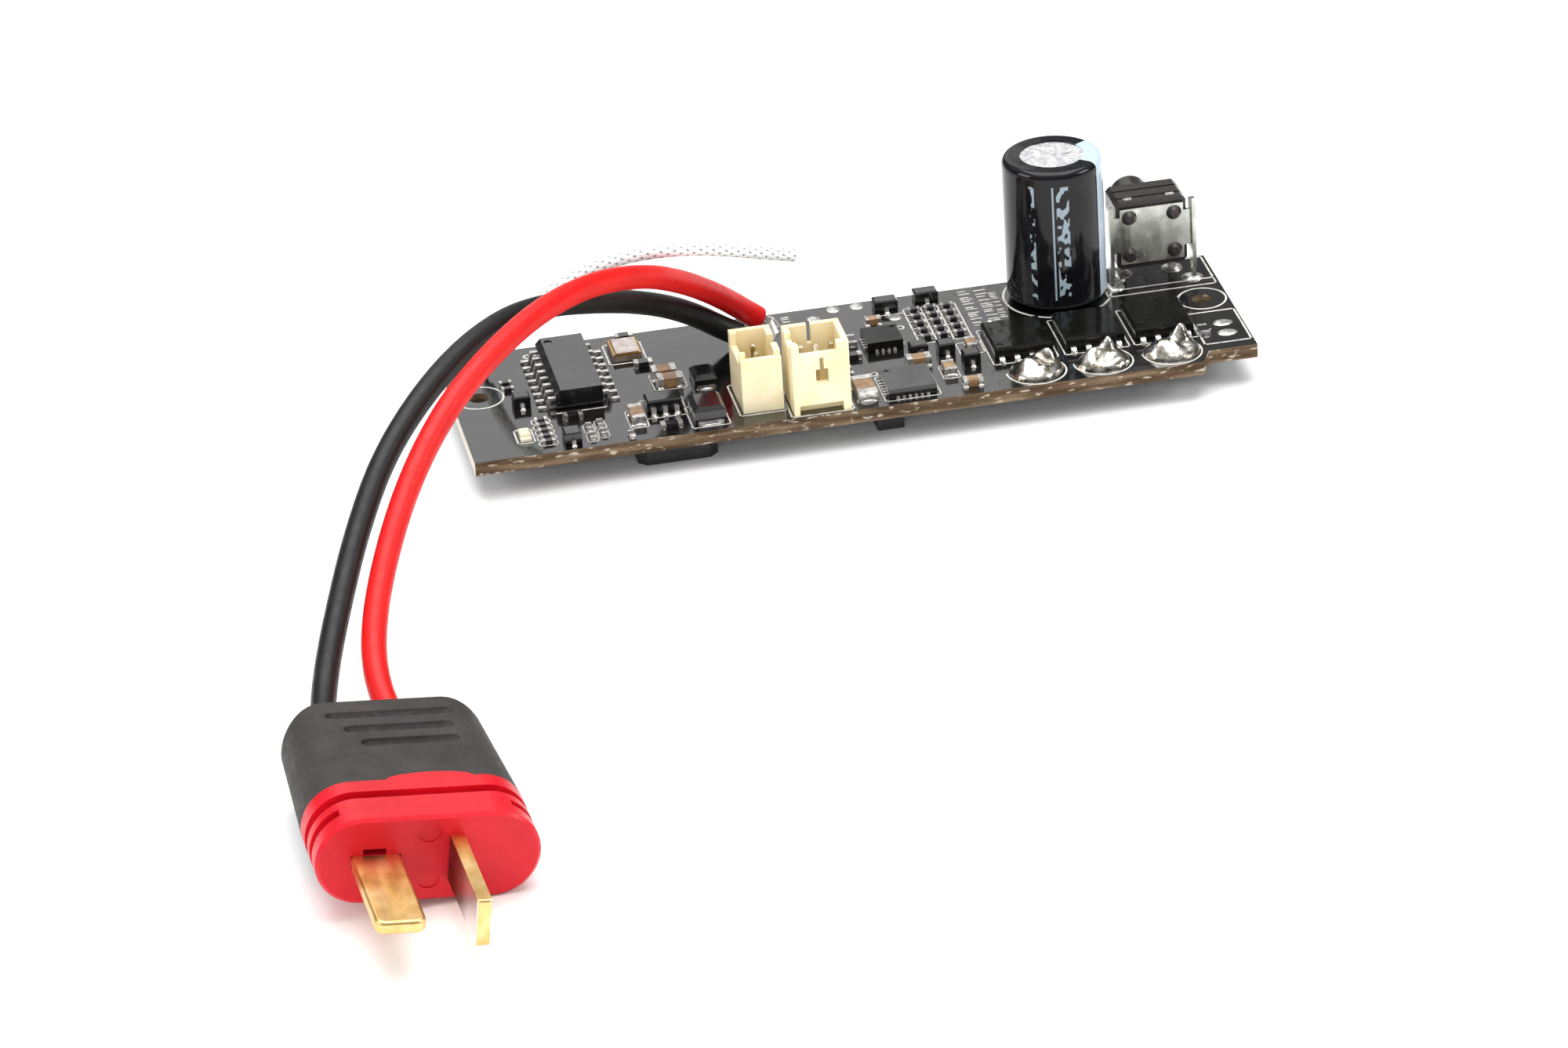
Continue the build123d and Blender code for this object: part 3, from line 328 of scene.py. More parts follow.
SCREW_HOLES = ((2.24, 11.5), (63.0, 11.5))
CAPACITOR_PLACE = (51.76, 16.05)
MOTOR_JOINTS = ((46.8, 2.5), (52.4, 2.55), (58.2, 2.6))
for x, y in SCREW_HOLES:
    circle(x, y, 2.0)
circle(*CAPACITOR_PLACE, 4.5, 0.2)
for x, y in MOTOR_JOINTS:
    circle(x, y, 2.45, 0.14, 175, 400)
PIN_ONE_DOTS = (  # x, y, radius, line width
    (34.0, 5.9, 0.3, 0.12),
    (37.9, 13.8, 0.3, 0.12),
    (7.3, 17.9, 0.3, 0.14),
    (56.4, 15.85, 0.75, 0.16),
)
for x, y, r, width in PIN_ONE_DOTS:
    circle(x, y, r, width)

BARS = (          # x, y, x, y, line width
    (55.7, 15.2, 64.9, 15.2, LINE),         # across the switch's outline
    (61.1, 5.65, 62.2, 5.65, LINE),         # between the two pads at the right edge
    (40.3, 10.3, 40.3, 17.1, 0.12),         # inside the resistor grid
    (41.7, 10.3, 41.7, 17.1, 0.12),
    (7.9, 6.75, 11.9, 6.75, LINE),          # the two ends of the sixteen-lead chip
    (7.9, 17.95, 11.9, 17.95, LINE),
)
OUTLINES = (      # left, front, right, back, line width
    (55.7, 14.1, 64.9, 19.4, LINE),         # switch
    (61.1, 3.0, 65.0, 8.9, LINE),           # two pads at the right edge
    (38.8, 10.3, 43.2, 17.1, 0.12),         # resistor grid
    (22.1, 1.7, 25.95, 7.5, LINE),          # two-pin header
    (26.05, 0.2, 31.2, 4.9, LINE),          # three-pin header
    (13.6, 14.2, 16.7, 18.0, 0.14),         # crystal
    (14.6, 3.5, 18.1, 6.9, 0.12),
    (3.95, 2.2, 5.35, 4.7, 0.14),
    (16.3, 8.35, 19.0, 11.55, 0.12),
    (13.2, 2.2, 14.7, 5.4, 0.12),
    (18.0, 0.7, 21.1, 4.7, 0.12),
    (33.9, 0.7, 38.5, 5.3, 0.1),
    (39.3, 3.3, 40.7, 5.7, 0.1),
    (41.6, 7.2, 43.6, 9.4, 0.1),
)
for bar in BARS:
    stroke(*bar)
for outline in OUTLINES:
    frame_box(*outline)
for y in (11.85, 13.2, 14.55, 15.85):
    stroke(38.8, y, 43.2, y, 0.1)
for y in (1.7, 2.7, 3.7, 4.7, 5.7):
    frame_box(5.6, y - 0.42, 7.1, y + 0.42, 0.1)
for x, y in ((9.9, 1.6), (9.9, 3.3), (10.9, 2.0), (10.9, 3.7)):
    frame_box(x - 0.42, y - 0.75, x + 0.42, y + 0.75, 0.1)
for x, y in ((37.45, 17.7), (41.0, 18.3)):
    stroke(x - 1.3, y - 1.25, x + 1.3, y - 1.25, 0.12)
for x, y in ((46.45, 7.95), (52.45, 8.0), (58.3, 8.05)):
    frame_box(x - 2.7, y - 3.4, x + 2.7, y + 3.3, 0.12)

TICK_COLUMNS = (  # x, first y, last y, half length
    (44.3, 12.3, 18.9, 0.4),
    (45.7, 12.3, 18.9, 0.4),
    (46.6, 13.2, 18.2, 0.22),
    (29.2, 15.8, 18.8, 0.35),
)
TICK_SHARES = (0.4, 1)
TICK_GAPS = (0.34, 0.5, 0.72)
random.seed(4)
for x, low, high, reach in TICK_COLUMNS:
    y = low
    while y < high:
        stroke(x - reach, y, x + reach * random.choice(TICK_SHARES), y)
        y += random.choice(TICK_GAPS)
new_piece("board_markings", bm, smooth=False)

# ---------------------------------------------------------------- tinned pads and solder
bm = bmesh.new()
DOME_SIDES, DOME_STEPS = 12, 4
FOOT_DEPTH = 0.12 * MM       # points this near the deck belong to a part's foot


def dome(x, y, rx, ry, height, base=DECK):
    """Half an ellipsoid of solder on the board, at a row-frame place in metres."""
    top = bm.verts.new((x, y, base + height))
    shells = []
    for step in range(DOME_STEPS):
        lift = math.radians(90 * step / DOME_STEPS)
        reach, rise = math.cos(lift), math.sin(lift)
        shells.append([
            bm.verts.new((
                x + rx * reach * math.cos(2 * math.pi * s / DOME_SIDES),
                y + ry * reach * math.sin(2 * math.pi * s / DOME_SIDES),
                base + height * rise,
            ))
            for s in range(DOME_SIDES)
        ])
    for lower, higher in zip(shells, shells[1:]):
        for s in range(DOME_SIDES):
            t = (s + 1) % DOME_SIDES
            bm.faces.new((lower[s], lower[t], higher[t], higher[s]))
    for s in range(DOME_SIDES):
        bm.faces.new((shells[-1][s], shells[-1][(s + 1) % DOME_SIDES], top))


def islands(node):
    """The separate solids of a CAD node, each as a list of points."""
    whole = bmesh.new()
    whole.from_mesh(nodes[node].data)
    bmesh.ops.remove_doubles(whole, verts=whole.verts, dist=1e-6)
    left = set(whole.verts)
    found = []
    while left:
        stack = [left.pop()]
        solid = []
        while stack:
            vertex = stack.pop()
            solid.append(vertex.co.copy())
            for edge in vertex.link_edges:
                other = edge.other_vert(vertex)
                if other in left:
                    left.remove(other)
                    stack.append(other)
        found.append(solid)
    whole.free()
    found.sort(key=lambda solid: (round(min(p.x for p in solid), 6), round(min(p.y for p in solid), 6)))
    return found


def skirts(node, grow, height):
    """A fillet of solder around the foot of each solid of a node."""
    for solid in islands(node):
        foot = [p for p in solid if abs(p.z - DECK) < FOOT_DEPTH]
        if not foot:
            continue
        xs, ys = [p.x for p in foot], [p.y for p in foot]
        rx = (max(xs) - min(xs)) / 2 + grow * MM
        ry = (max(ys) - min(ys)) / 2 + grow * MM
        dome((max(xs) + min(xs)) / 2, (max(ys) + min(ys)) / 2, rx, ry, height * MM)


SKIRTS = {        # node: how far the fillet reaches past the foot, its height
    "main_chip_leads": (0.03, 0.12),
    "upper_leads_left": (0.1, 0.24),
    "upper_leads_middle": (0.1, 0.24),
    "upper_leads_right": (0.1, 0.24),
    "regulator_leads": (0.14, 0.2),
    "small_transistor_leads": (0.1, 0.16),
    "diode_terminals": (0.12, 0.2),
    "ceramic_capacitor_ends": (0.18, 0.3),
    "chip_resistor_ends": (0.05, 0.1),
    "driver_chip_pads": (0.05, 0.24),
    "logic_chip_pads": (0.05, 0.24),
}
for node, (grow, height) in SKIRTS.items():
    skirts(node, grow, height)


def pad_domes(places, rx, ry, height):
    """A dome of solder at each board place; every size is in millimetres."""
    for x, y in places:
        place = board(x, y)
        dome(place.x, place.y, rx * MM, ry * MM, height * MM)


TEST_PADS = ((33.3, 18.9), (35.3, 18.9), (37.9, 15.9), (31.4, 17.6), (29.9, 12.7))
EDGE_PADS = ((63.5, 6.6), (63.4, 4.7))
SWITCH_PADS = ((57.75, 18.0), (62.05, 18.0), (56.55, 15.75), (63.25, 15.75))
SOLDER_SPOTS = ((57.4, 16.9), (45.2, 12.2), (31.8, 8.4))
pad_domes(TEST_PADS, 0.6, 0.6, 0.08)
pad_domes(EDGE_PADS, 0.85, 0.6, 0.12)
pad_domes(SWITCH_PADS, 0.95, 0.85, 0.3)
pad_domes(SOLDER_SPOTS, 0.45, 0.4, 0.35)
solder_fillets = new_piece("solder_fillets", bm)

SWITCH_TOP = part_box("switch_body")[1]
SWITCH_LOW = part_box("switch_body")[0]
TAB_SIZE = (0.7 * MM, 0.5 * MM, 0.1 * MM)
TAB_DEPTH = 1.25 * MM        # from the switch's front face
bm = bmesh.new()
for share in (0.2, 0.8):
    centre = Vector((
        SWITCH_LOW.x + (SWITCH_TOP.x - SWITCH_LOW.x) * share,
        SWITCH_LOW.y + TAB_DEPTH,
        SWITCH_TOP.z,
    ))
    size = Matrix.Diagonal((*TAB_SIZE, 1))
    bmesh.ops.create_cube(bm, size=1, matrix=Matrix.Translation(centre) @ size)
new_piece("switch_tabs", bm, smooth=False)

# ---------------------------------------------------------------- motor solder joints
JOINT_RADIUS = 2.0
JOINT_SPREAD = (1.15, 1.0)      # the joints are wider along the board
JOINT_SIDES, JOINT_STEPS = 56, 26
JOINT_LUMPS = 9
PEAKS = ((1.15, 0.75, 1.0), (0.55, 0.6, 1.25), (0.85, 0.6, 1.5))     # x, y, height


def lumpy_joint(cx, cy, peak, seed):
    """A mound of solder with an off-centre peak, a few lumps and a wandering edge."""
    random.seed(seed)
    lumps = [
        (
            random.uniform(-1.3, 1.3),
            random.uniform(-1.3, 1.3),
            random.uniform(0.4, 0.7),
            random.uniform(-0.2, 0.25),
        )
        for _ in range(JOINT_LUMPS)
    ]
    wander = [random.uniform(0, 2 * math.pi) for _ in range(3)]

    def height(x, y):
        share = min(math.hypot(x, y) / JOINT_RADIUS, 1.0)
        mound = 0.8 * max(1 - share**3, 0.0) ** 0.6
        ridge = peak[2] * math.exp(-((x - peak[0]) ** 2 + (y - peak[1]) ** 2) / 0.34)
        saddle = 0.45 * math.exp(-((x + 0.7) ** 2 / 0.9 + (y + 0.1) ** 2 / 0.4))
        bumps = sum(h * math.exp(-((x - lx) ** 2 + (y - ly) ** 2) / (w * w)) for lx, ly, w, h in lumps)
        return mound + (ridge + saddle + bumps) * (1 - share**4)

    centre = bm.verts.new(board(cx, cy, height(0, 0)))
    shells = []
    for step in range(1, JOINT_STEPS + 1):
        shell = []
        for s in range(JOINT_SIDES):
            angle = 2 * math.pi * s / JOINT_SIDES
            edge = 1 + 0.05 * math.sin(2 * angle + wander[0]) + 0.04 * math.sin(3 * angle + wander[1])
            reach = JOINT_RADIUS * step / JOINT_STEPS
            x, y = reach * math.cos(angle), reach * math.sin(angle)
            place = (cx + x * edge * JOINT_SPREAD[0], cy + y * edge * JOINT_SPREAD[1])
            shell.append(bm.verts.new(board(*place, height(x, y))))
        shells.append(shell)
    for s in range(JOINT_SIDES):
        t = (s + 1) % JOINT_SIDES
        bm.faces.new((centre, shells[0][s], shells[0][t]))
        for inner, outer in zip(shells, shells[1:]):
            bm.faces.new((inner[s], outer[s], outer[t], inner[t]))


bm = bmesh.new()
for seed, ((x, y), peak) in enumerate(zip(MOTOR_JOINTS, PEAKS), start=3):
    lumpy_joint(x, y, peak, seed)
motor_joints = new_piece("motor_joints_lumpy", bm)
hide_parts("motor_solder_joints")


# ---------------------------------------------------------------- material helpers
NOISE_LOW, NOISE_HIGH = 0.3, 0.7       # most of a noise lies between these


class Look:
    """One procedural material: its principled shader and short ways to add nodes."""

    def __init__(self, name, colour, rough, metallic=0.0, coat=0.0, specular=0.5):
        self.material = bpy.data.materials.new(name)
        self.material.use_nodes = True
        self.tree = self.material.node_tree
        self.shader = self.tree.nodes["Principled BSDF"]
        self.set("Base Color", (*colour, 1))
        self.set("Roughness", rough)
        self.set("Metallic", metallic)
        self.set("Coat Weight", coat)
        self.set("Coat Roughness", 0.04)
        self.set("Specular IOR Level", specular)
        self.place = self.node("ShaderNodeTexCoord").outputs["Object"]

    def node(self, kind, **values):
        """Adds a shader node, with its properties set."""
        made = self.tree.nodes.new(kind)
        for key, value in values.items():
            setattr(made, key, value)
        return made

    def link(self, source, target):
        """Joins one socket to another."""
        self.tree.links.new(source, target)

    def set(self, socket, value):
        """Sets a value on the principled shader."""
        self.shader.inputs[socket].default_value = value

    def noise(self, size_mm, detail=3.0, stretch=(1, 1, 1)):
        """Noise with features about size_mm across, stretched along an axis by its factor."""
        mapping = self.node("ShaderNodeMapping")
        mapping.inputs["Scale"].default_value = [1 / factor for factor in stretch]
        self.link(self.place, mapping.inputs["Vector"])
        made = self.node("ShaderNodeTexNoise")
        made.inputs["Scale"].default_value = 1 / (size_mm * MM)
        made.inputs["Detail"].default_value = detail
        self.link(mapping.outputs["Vector"], made.inputs["Vector"])
        return made.outputs["Fac"]

    def cells(self, size_mm):
        """Distance from the middle of the nearest cell, cells about size_mm across."""
        made = self.node("ShaderNodeTexVoronoi")
        made.inputs["Scale"].default_value = 1 / (size_mm * MM)
        self.link(self.place, made.inputs["Vector"])
        return made.outputs["Distance"]

    def math(self, operation, a, b=0.0, clamp=False):
        """One operation on two values, each a number or a socket."""
        made = self.node("ShaderNodeMath", operation=operation, use_clamp=clamp)
        for socket, value in zip(made.inputs, (a, b)):
            if isinstance(value, (int, float)):
                socket.default_value = value
            else:
                self.link(value, socket)
        return made.outputs[0]

    def ramp(self, value, *stops):
        """Colour by value; stops are (position, (r, g, b))."""
        made = self.node("ShaderNodeValToRGB")
        elements = made.color_ramp.elements
        while len(elements) < len(stops):
            elements.new(0.5)
        for element, (position, colour) in zip(elements, stops):
            element.position = position
            element.color = (*colour, 1)
        self.link(value, made.inputs["Fac"])
        return made.outputs["Color"]

    def mottle(self, size_mm, detail, dark, light, low=NOISE_LOW, high=NOISE_HIGH):
        """A colour that drifts from dark to light in patches about size_mm across."""
        return self.ramp(self.noise(size_mm, detail), (low, dark), (high, light))

    def layered(self, coarse, fine, share):
        """A coarse noise plus a share of a fine one, each given by its noise() values."""
        return self.math("ADD", self.noise(*coarse), self.math("MULTIPLY", self.noise(*fine), share))

    def between(self, share, first, second):
        """first where share is 0, second where it is 1; each a colour or a socket."""
        made = self.node("ShaderNodeMix", data_type="RGBA")
        self.link(share, made.inputs["Factor"])
        for socket, value in ((made.inputs[6], first), (made.inputs[7], second)):
            if isinstance(value, tuple):
                socket.default_value = (*value, 1)
            else:
                self.link(value, socket)
        return made.outputs[2]

    def span(self, value, low, high):
        """value's place between low and high, held to 0..1."""
        made = self.node("ShaderNodeMapRange")
        made.inputs["From Min"].default_value = low
        made.inputs["From Max"].default_value = high
        self.link(value, made.inputs["Value"])
        return made.outputs["Result"]

    def axes(self):
        """The X, Y and Z of the object place, in metres."""
        split = self.node("ShaderNodeSeparateXYZ")
        self.link(self.place, split.inputs["Vector"])
        return split.outputs

    def colour(self, socket):
        """Takes the base colour from a socket."""
        self.link(socket, self.shader.inputs["Base Color"])

    def rough(self, value, low, high):
        """Roughness from low to high as a noise rises."""
        made = self.node("ShaderNodeMapRange")
        made.inputs["To Min"].default_value = low
        made.inputs["To Max"].default_value = high
        made.inputs["From Min"].default_value = NOISE_LOW
        made.inputs["From Max"].default_value = NOISE_HIGH
        self.link(value, made.inputs["Value"])
        self.link(made.outputs["Result"], self.shader.inputs["Roughness"])

    def bump(self, height, depth_mm, strength=1.0):
        """Small relief of about depth_mm from a noise."""
        made = self.node("ShaderNodeBump")
        made.inputs["Strength"].default_value = strength
        made.inputs["Distance"].default_value = depth_mm * MM
        self.link(height, made.inputs["Height"])
        self.link(made.outputs["Normal"], self.shader.inputs["Normal"])


def dress(look, *names):
    """Gives a look to CAD nodes and pieces by name."""
    for name in names:
        target = nodes.get(name) or bpy.data.objects[name]
        target.data.materials.clear()
        target.data.materials.append(look.material)


# ---------------------------------------------------------------- board
mask = Look("board_mask", (0.006, 0.006, 0.006), 0.14, coat=0.6)
mask_x, _, mask_z = mask.axes()
FACE_MARGIN = 0.02 * MM      # nearer to a face than this is coated, the rest is the cut edge
on_top = mask.math("GREATER_THAN", mask_z, DECK - FACE_MARGIN)
below = mask.math("LESS_THAN", mask_z, BOARD_LOW.z + FACE_MARGIN)
face = mask.math("ADD", on_top, below, clamp=True)
laminate = mask.ramp(mask.noise(0.9, 6, (6, 6, 0.6)),
                     (0.3, (0.050, 0.032, 0.019)), (0.5, (0.115, 0.076, 0.047)), (0.7, (0.24, 0.175, 0.11)))
specks = mask.span(mask.noise(0.5, 5, (2, 2, 0.7)), 0.58, 0.66)
edge = mask.between(specks, laminate, (0.46, 0.40, 0.32))
pale_end = mask.math("LESS_THAN", mask_x, BOARD_LOW.x + 0.03 * MM)
edge = mask.between(pale_end, edge, (0.66, 0.62, 0.54))
copper = mask.ramp(mask.noise(5.0, 2, (3, 1, 1)),
                   (0.4, (0.0035, 0.0035, 0.0035)), (0.6, (0.011, 0.0105, 0.0095)))
dust = mask.span(mask.cells(1.3), 0.045, 0.03)
mask_colour = mask.between(dust, copper, (0.12, 0.12, 0.115))
mask.colour(mask.between(face, edge, mask_colour))
edge_rough = mask.math("SUBTRACT", 1.0, face)
roughness = mask.math("ADD", mask.math("MULTIPLY", edge_rough, 0.5), 0.13)
mask.link(roughness, mask.shader.inputs["Roughness"])
mask.link(mask.math("MULTIPLY", face, 0.6), mask.shader.inputs["Coat Weight"])
mask.link(mask.math("MULTIPLY", face, 0.5), mask.shader.inputs["Specular IOR Level"])
mask.bump(mask.layered((2.6, 2), (0.35, 4), 0.12), 0.09, 0.55)
dress(mask, "circuit_board")

ink = Look("marking_ink", (0.62, 0.62, 0.60), 0.5)
ink.colour(ink.mottle(0.5, 4, (0.36, 0.35, 0.32), (0.66, 0.65, 0.60), low=0.3, high=0.55))
dress(ink, "board_markings")

# ---------------------------------------------------------------- chips
epoxy = Look("chip_epoxy", (0.007, 0.007, 0.0075), 0.14, coat=0.5)
epoxy.rough(epoxy.noise(1.2, 3), 0.08, 0.26)
epoxy.bump(epoxy.layered((1.6, 2), (0.12, 3), 0.1), 0.07, 0.5)
dress(epoxy, "main_chip", "driver_chip", "regulator", "diodes", "small_transistors", "lower_transistors")

varnished = Look("varnished_epoxy", (0.005, 0.005, 0.005), 0.1, specular=0.2)
varnished.colour(varnished.mottle(1.0, 3, (0.004, 0.004, 0.004), (0.009, 0.009, 0.008)))
varnished.rough(varnished.noise(1.2, 3), 0.06, 0.18)
varnished.bump(varnished.noise(1.8, 2), 0.08, 0.5)
dress(varnished, "logic_chip", "upper_transistor_left", "upper_transistor_middle", "upper_transistor_right")

film = Look("resistor_film", (0.008, 0.008, 0.01), 0.2, coat=0.4)
film.colour(film.mottle(0.6, 3, (0.006, 0.006, 0.007), (0.02, 0.02, 0.023), low=0.35, high=0.7))
film.bump(film.noise(0.4, 2), 0.03, 0.5)
dress(film, "chip_resistors")

ferrite = Look("ferrite", (0.02, 0.02, 0.021), 0.6)
ferrite.colour(ferrite.mottle(0.3, 5, (0.014, 0.014, 0.015), (0.03, 0.03, 0.031)))
ferrite.bump(ferrite.noise(0.2, 4), 0.04, 0.6)
dress(ferrite, "power_inductor", "tantalum_capacitor")

ceramic = Look("ceramic_brown", (0.28, 0.16, 0.075), 0.32, coat=0.25)
ceramic.colour(ceramic.mottle(0.7, 5, (0.17, 0.09, 0.04), (0.36, 0.215, 0.105)))
ceramic.bump(ceramic.noise(0.25, 4), 0.03, 0.5)
dress(ceramic, "ceramic_capacitors")

lid = Look("crystal_metal", (0.68, 0.58, 0.54), 0.28, metallic=1.0)
lid_z = lid.axes()[2]
LID_RIM = 0.645 * MM         # height of the gilt rim above the deck
rim = lid.math("LESS_THAN", lid_z, DECK + LID_RIM)
satin = lid.mottle(0.6, 4, (0.55, 0.46, 0.43), (0.80, 0.72, 0.68))
lid.colour(lid.between(rim, satin, (0.62, 0.36, 0.10)))
lid.bump(lid.noise(0.15, 4), 0.015, 0.5)
dress(lid, "crystal_lid")

dark_ceramic = Look("crystal_ceramic", (0.16, 0.12, 0.09), 0.35, coat=0.2)
dark_ceramic.colour(dark_ceramic.mottle(0.4, 4, (0.10, 0.07, 0.05), (0.24, 0.18, 0.13)))
dress(dark_ceramic, "crystal_base")

lamp = Look("lamp_resin", (0.78, 0.74, 0.55), 0.15, coat=0.5)
lamp.set("Subsurface Weight", 0.3)
lamp.set("Subsurface Radius", (0.4 * MM, 0.35 * MM, 0.2 * MM))
lamp.set("Subsurface Scale", 1.0)
lamp.colour(lamp.mottle(0.8, 2, (0.70, 0.66, 0.46), (0.84, 0.82, 0.68)))
dress(lamp, "status_light")

# ---------------------------------------------------------------- metals
tin = Look("bright_tin", (0.78, 0.77, 0.75), 0.2, metallic=0.85)
tin.colour(tin.mottle(0.45, 4, (0.36, 0.35, 0.33), (0.80, 0.78, 0.74), low=0.32, high=0.6))
tin.rough(tin.noise(0.35, 4), 0.16, 0.42)
tin.bump(tin.noise(0.3, 4), 0.04, 0.6)
dress(tin, "capacitor_leads", "main_chip_leads", "upper_leads_left", "upper_leads_middle",
      "upper_leads_right", "lower_transistor_leads", "regulator_leads", "small_transistor_leads",
      "diode_terminals", "switch_terminals", "driver_chip_pads", "logic_chip_pads", "ceramic_capacitor_ends",
      "chip_resistor_ends", "tantalum_terminals", "through_hole_solder", "battery_solder_joints",
      "antenna_solder_joint", "plug_solder", "solder_fillets", "switch_tabs")

blob = Look("solder_blob", (0.8, 0.79, 0.77), 0.1, metallic=1.0)
blob.colour(blob.ramp(blob.noise(1.1, 4), (0.36, (0.16, 0.145, 0.12)), (0.46, (0.50, 0.46, 0.40)),
                      (0.58, (0.80, 0.77, 0.72))))
blob.rough(blob.noise(0.8, 4), 0.08, 0.26)
blob.bump(blob.layered((1.1, 2), (0.3, 2), 0.1), 0.16, 0.6)
dress(blob, "motor_joints_lumpy")

plate = Look("bracket_steel", (0.60, 0.61, 0.56), 0.22, metallic=1.0)
plate.colour(plate.mottle(1.6, 4, (0.42, 0.44, 0.39), (0.70, 0.71, 0.66), low=0.3, high=0.65))
plate.rough(plate.noise(1.0, 5, (1, 1, 4)), 0.14, 0.34)
plate.bump(plate.layered((3.0, 2), (0.12, 3, (1, 1, 6)), 0.06), 0.12, 0.5)
dress(plate, "switch_bracket", "switch_dome")

pins = Look("contact_pins", (0.74, 0.62, 0.38), 0.24, metallic=1.0)
pins.colour(pins.mottle(0.8, 3, (0.50, 0.42, 0.28), (0.84, 0.80, 0.70), low=0.35, high=0.65))
pins.bump(pins.noise(0.15, 3), 0.02, 0.5)
dress(pins, "two_pin_contacts", "three_pin_contacts")

GILT_COLOUR = (0.83, 0.54, 0.20)
GILT_STOPS = ((0.3, (0.60, 0.35, 0.10)), (0.5, (0.80, 0.53, 0.20)), (0.72, (0.92, 0.70, 0.36)))
ALONG_BLADE = (1, 5, 1)      # marks are drawn out along the blade
gold = Look("gilt_blade", GILT_COLOUR, 0.22, metallic=1.0)
gold.colour(gold.ramp(gold.noise(2.2, 5), *GILT_STOPS))
gold.rough(gold.noise(1.2, 5, ALONG_BLADE), 0.3, 0.46)
gold.bump(gold.noise(0.12, 4, (1, 8, 1)), 0.02, 0.6)
dress(gold, "flat_blade")

SILVER_REACH = 8.5 * MM      # how far back from the tip the inner side turns from silver to brown
silvered = Look("silvered_blade", GILT_COLOUR, 0.22, metallic=1.0)
facing = silvered.node("ShaderNodeSeparateXYZ")
silvered.link(silvered.node("ShaderNodeTexCoord").outputs["Normal"], facing.inputs["Vector"])
inner_side = silvered.math("LESS_THAN", facing.outputs["X"], -0.7)
gilt = silvered.ramp(silvered.noise(2.2, 5), *GILT_STOPS)
BLADE_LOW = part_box("upright_blade")[0]
near_tip = silvered.span(silvered.axes()[1], BLADE_LOW.y + SILVER_REACH, BLADE_LOW.y)
patchy = silvered.math("ADD", near_tip, silvered.math("MULTIPLY", silvered.noise(1.2, 3), 0.12))
SILVER_STOPS = ((0.12, (0.10, 0.06, 0.03)), (0.45, (0.42, 0.36, 0.30)), (0.7, (0.86, 0.84, 0.82)))
silver = silvered.ramp(patchy, *SILVER_STOPS)
silvered.colour(silvered.between(inner_side, gilt, silver))
silvered.rough(silvered.noise(1.2, 5, ALONG_BLADE), 0.24, 0.42)
silvered.bump(silvered.noise(0.12, 4, (1, 8, 1)), 0.02, 0.6)
dress(silvered, "upright_blade")

# ---------------------------------------------------------------- capacitor
CAP_AXIS = (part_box("capacitor_sleeve")[0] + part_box("capacitor_sleeve")[1]) / 2
CAP_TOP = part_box("capacitor_sleeve")[1].z
wrap = Look("capacitor_film", (0.006, 0.006, 0.007), 0.1, coat=0.1, specular=0.22)
wrap_x, wrap_y, wrap_z = wrap.axes()
from_axis_x = wrap.math("SUBTRACT", wrap_x, CAP_AXIS.x)
from_axis_y = wrap.math("SUBTRACT", wrap_y, CAP_AXIS.y)
bearing = wrap.math("ARCTAN2", from_axis_y, from_axis_x)


def window(look, value, low, high, soft):
    """1 where value lies between low and high, with a soft edge."""
    return look.math("MULTIPLY", look.span(value, low - soft, low), look.span(value, high + soft, high))


def upright_band(low, high):
    """1 on the part of the film whose bearing lies between two angles in degrees."""
    return window(wrap, bearing, math.radians(low), math.radians(high), 0.01)


STRIPE = (-42, 28)
DASH_PITCH = 2.6 * MM
DASH_HALF_WIDTH = 0.12       # radians
stripe = upright_band(*STRIPE)
stripe_middle = math.radians(sum(STRIPE) / 2)
dash_rows = window(wrap, wrap.math("FRACT", wrap.math("MULTIPLY", wrap_z, 1 / DASH_PITCH)), 0.3, 0.62, 0.02)
dash_column = window(wrap, bearing, stripe_middle - DASH_HALF_WIDTH, stripe_middle + DASH_HALF_WIDTH, 0.01)
dash = wrap.math("MULTIPLY", dash_rows, dash_column)
stripe_colour = wrap.between(dash, (0.48, 0.58, 0.66), (0.01, 0.01, 0.012))
blocks = wrap.span(wrap.noise(0.55, 1, (1, 1, 1.4)), 0.5, 0.53)
print_zone = window(wrap, wrap_z, DECK + 1.4 * MM, CAP_TOP - 1.2 * MM, 0.02 * MM)
broken_bands = wrap.math("ADD", upright_band(-99, -85), upright_band(-131, -125))
edge_line = upright_band(-104, -102.5)
bands = wrap.math("ADD", wrap.math("MULTIPLY", broken_bands, blocks), edge_line, clamp=True)
print_share = wrap.math("MULTIPLY", bands, print_zone)
black_film = wrap.mottle(2.0, 3, (0.004, 0.004, 0.005), (0.009, 0.009, 0.011))
inked = wrap.between(print_share, black_film, (0.30, 0.37, 0.42))
wrap.colour(wrap.between(stripe, inked, stripe_colour))
wrap.bump(wrap.layered((3.0, 2), (0.25, 3), 0.04), 0.07, 0.5)
dress(wrap, "capacitor_sleeve")

can = Look("can_aluminium", (0.86, 0.86, 0.87), 0.38, metallic=1.0)
can.colour(can.mottle(0.8, 6, (0.66, 0.66, 0.67), (0.93, 0.93, 0.94), low=0.3, high=0.6))
can.rough(can.noise(0.3, 5), 0.3, 0.55)
can.bump(can.noise(0.22, 5), 0.03, 0.7)
dress(can, "capacitor_can")

bung = Look("bung_rubber", (0.02, 0.02, 0.02), 0.7)
bung.bump(bung.noise(0.3, 3), 0.03, 0.5)
dress(bung, "capacitor_bung")

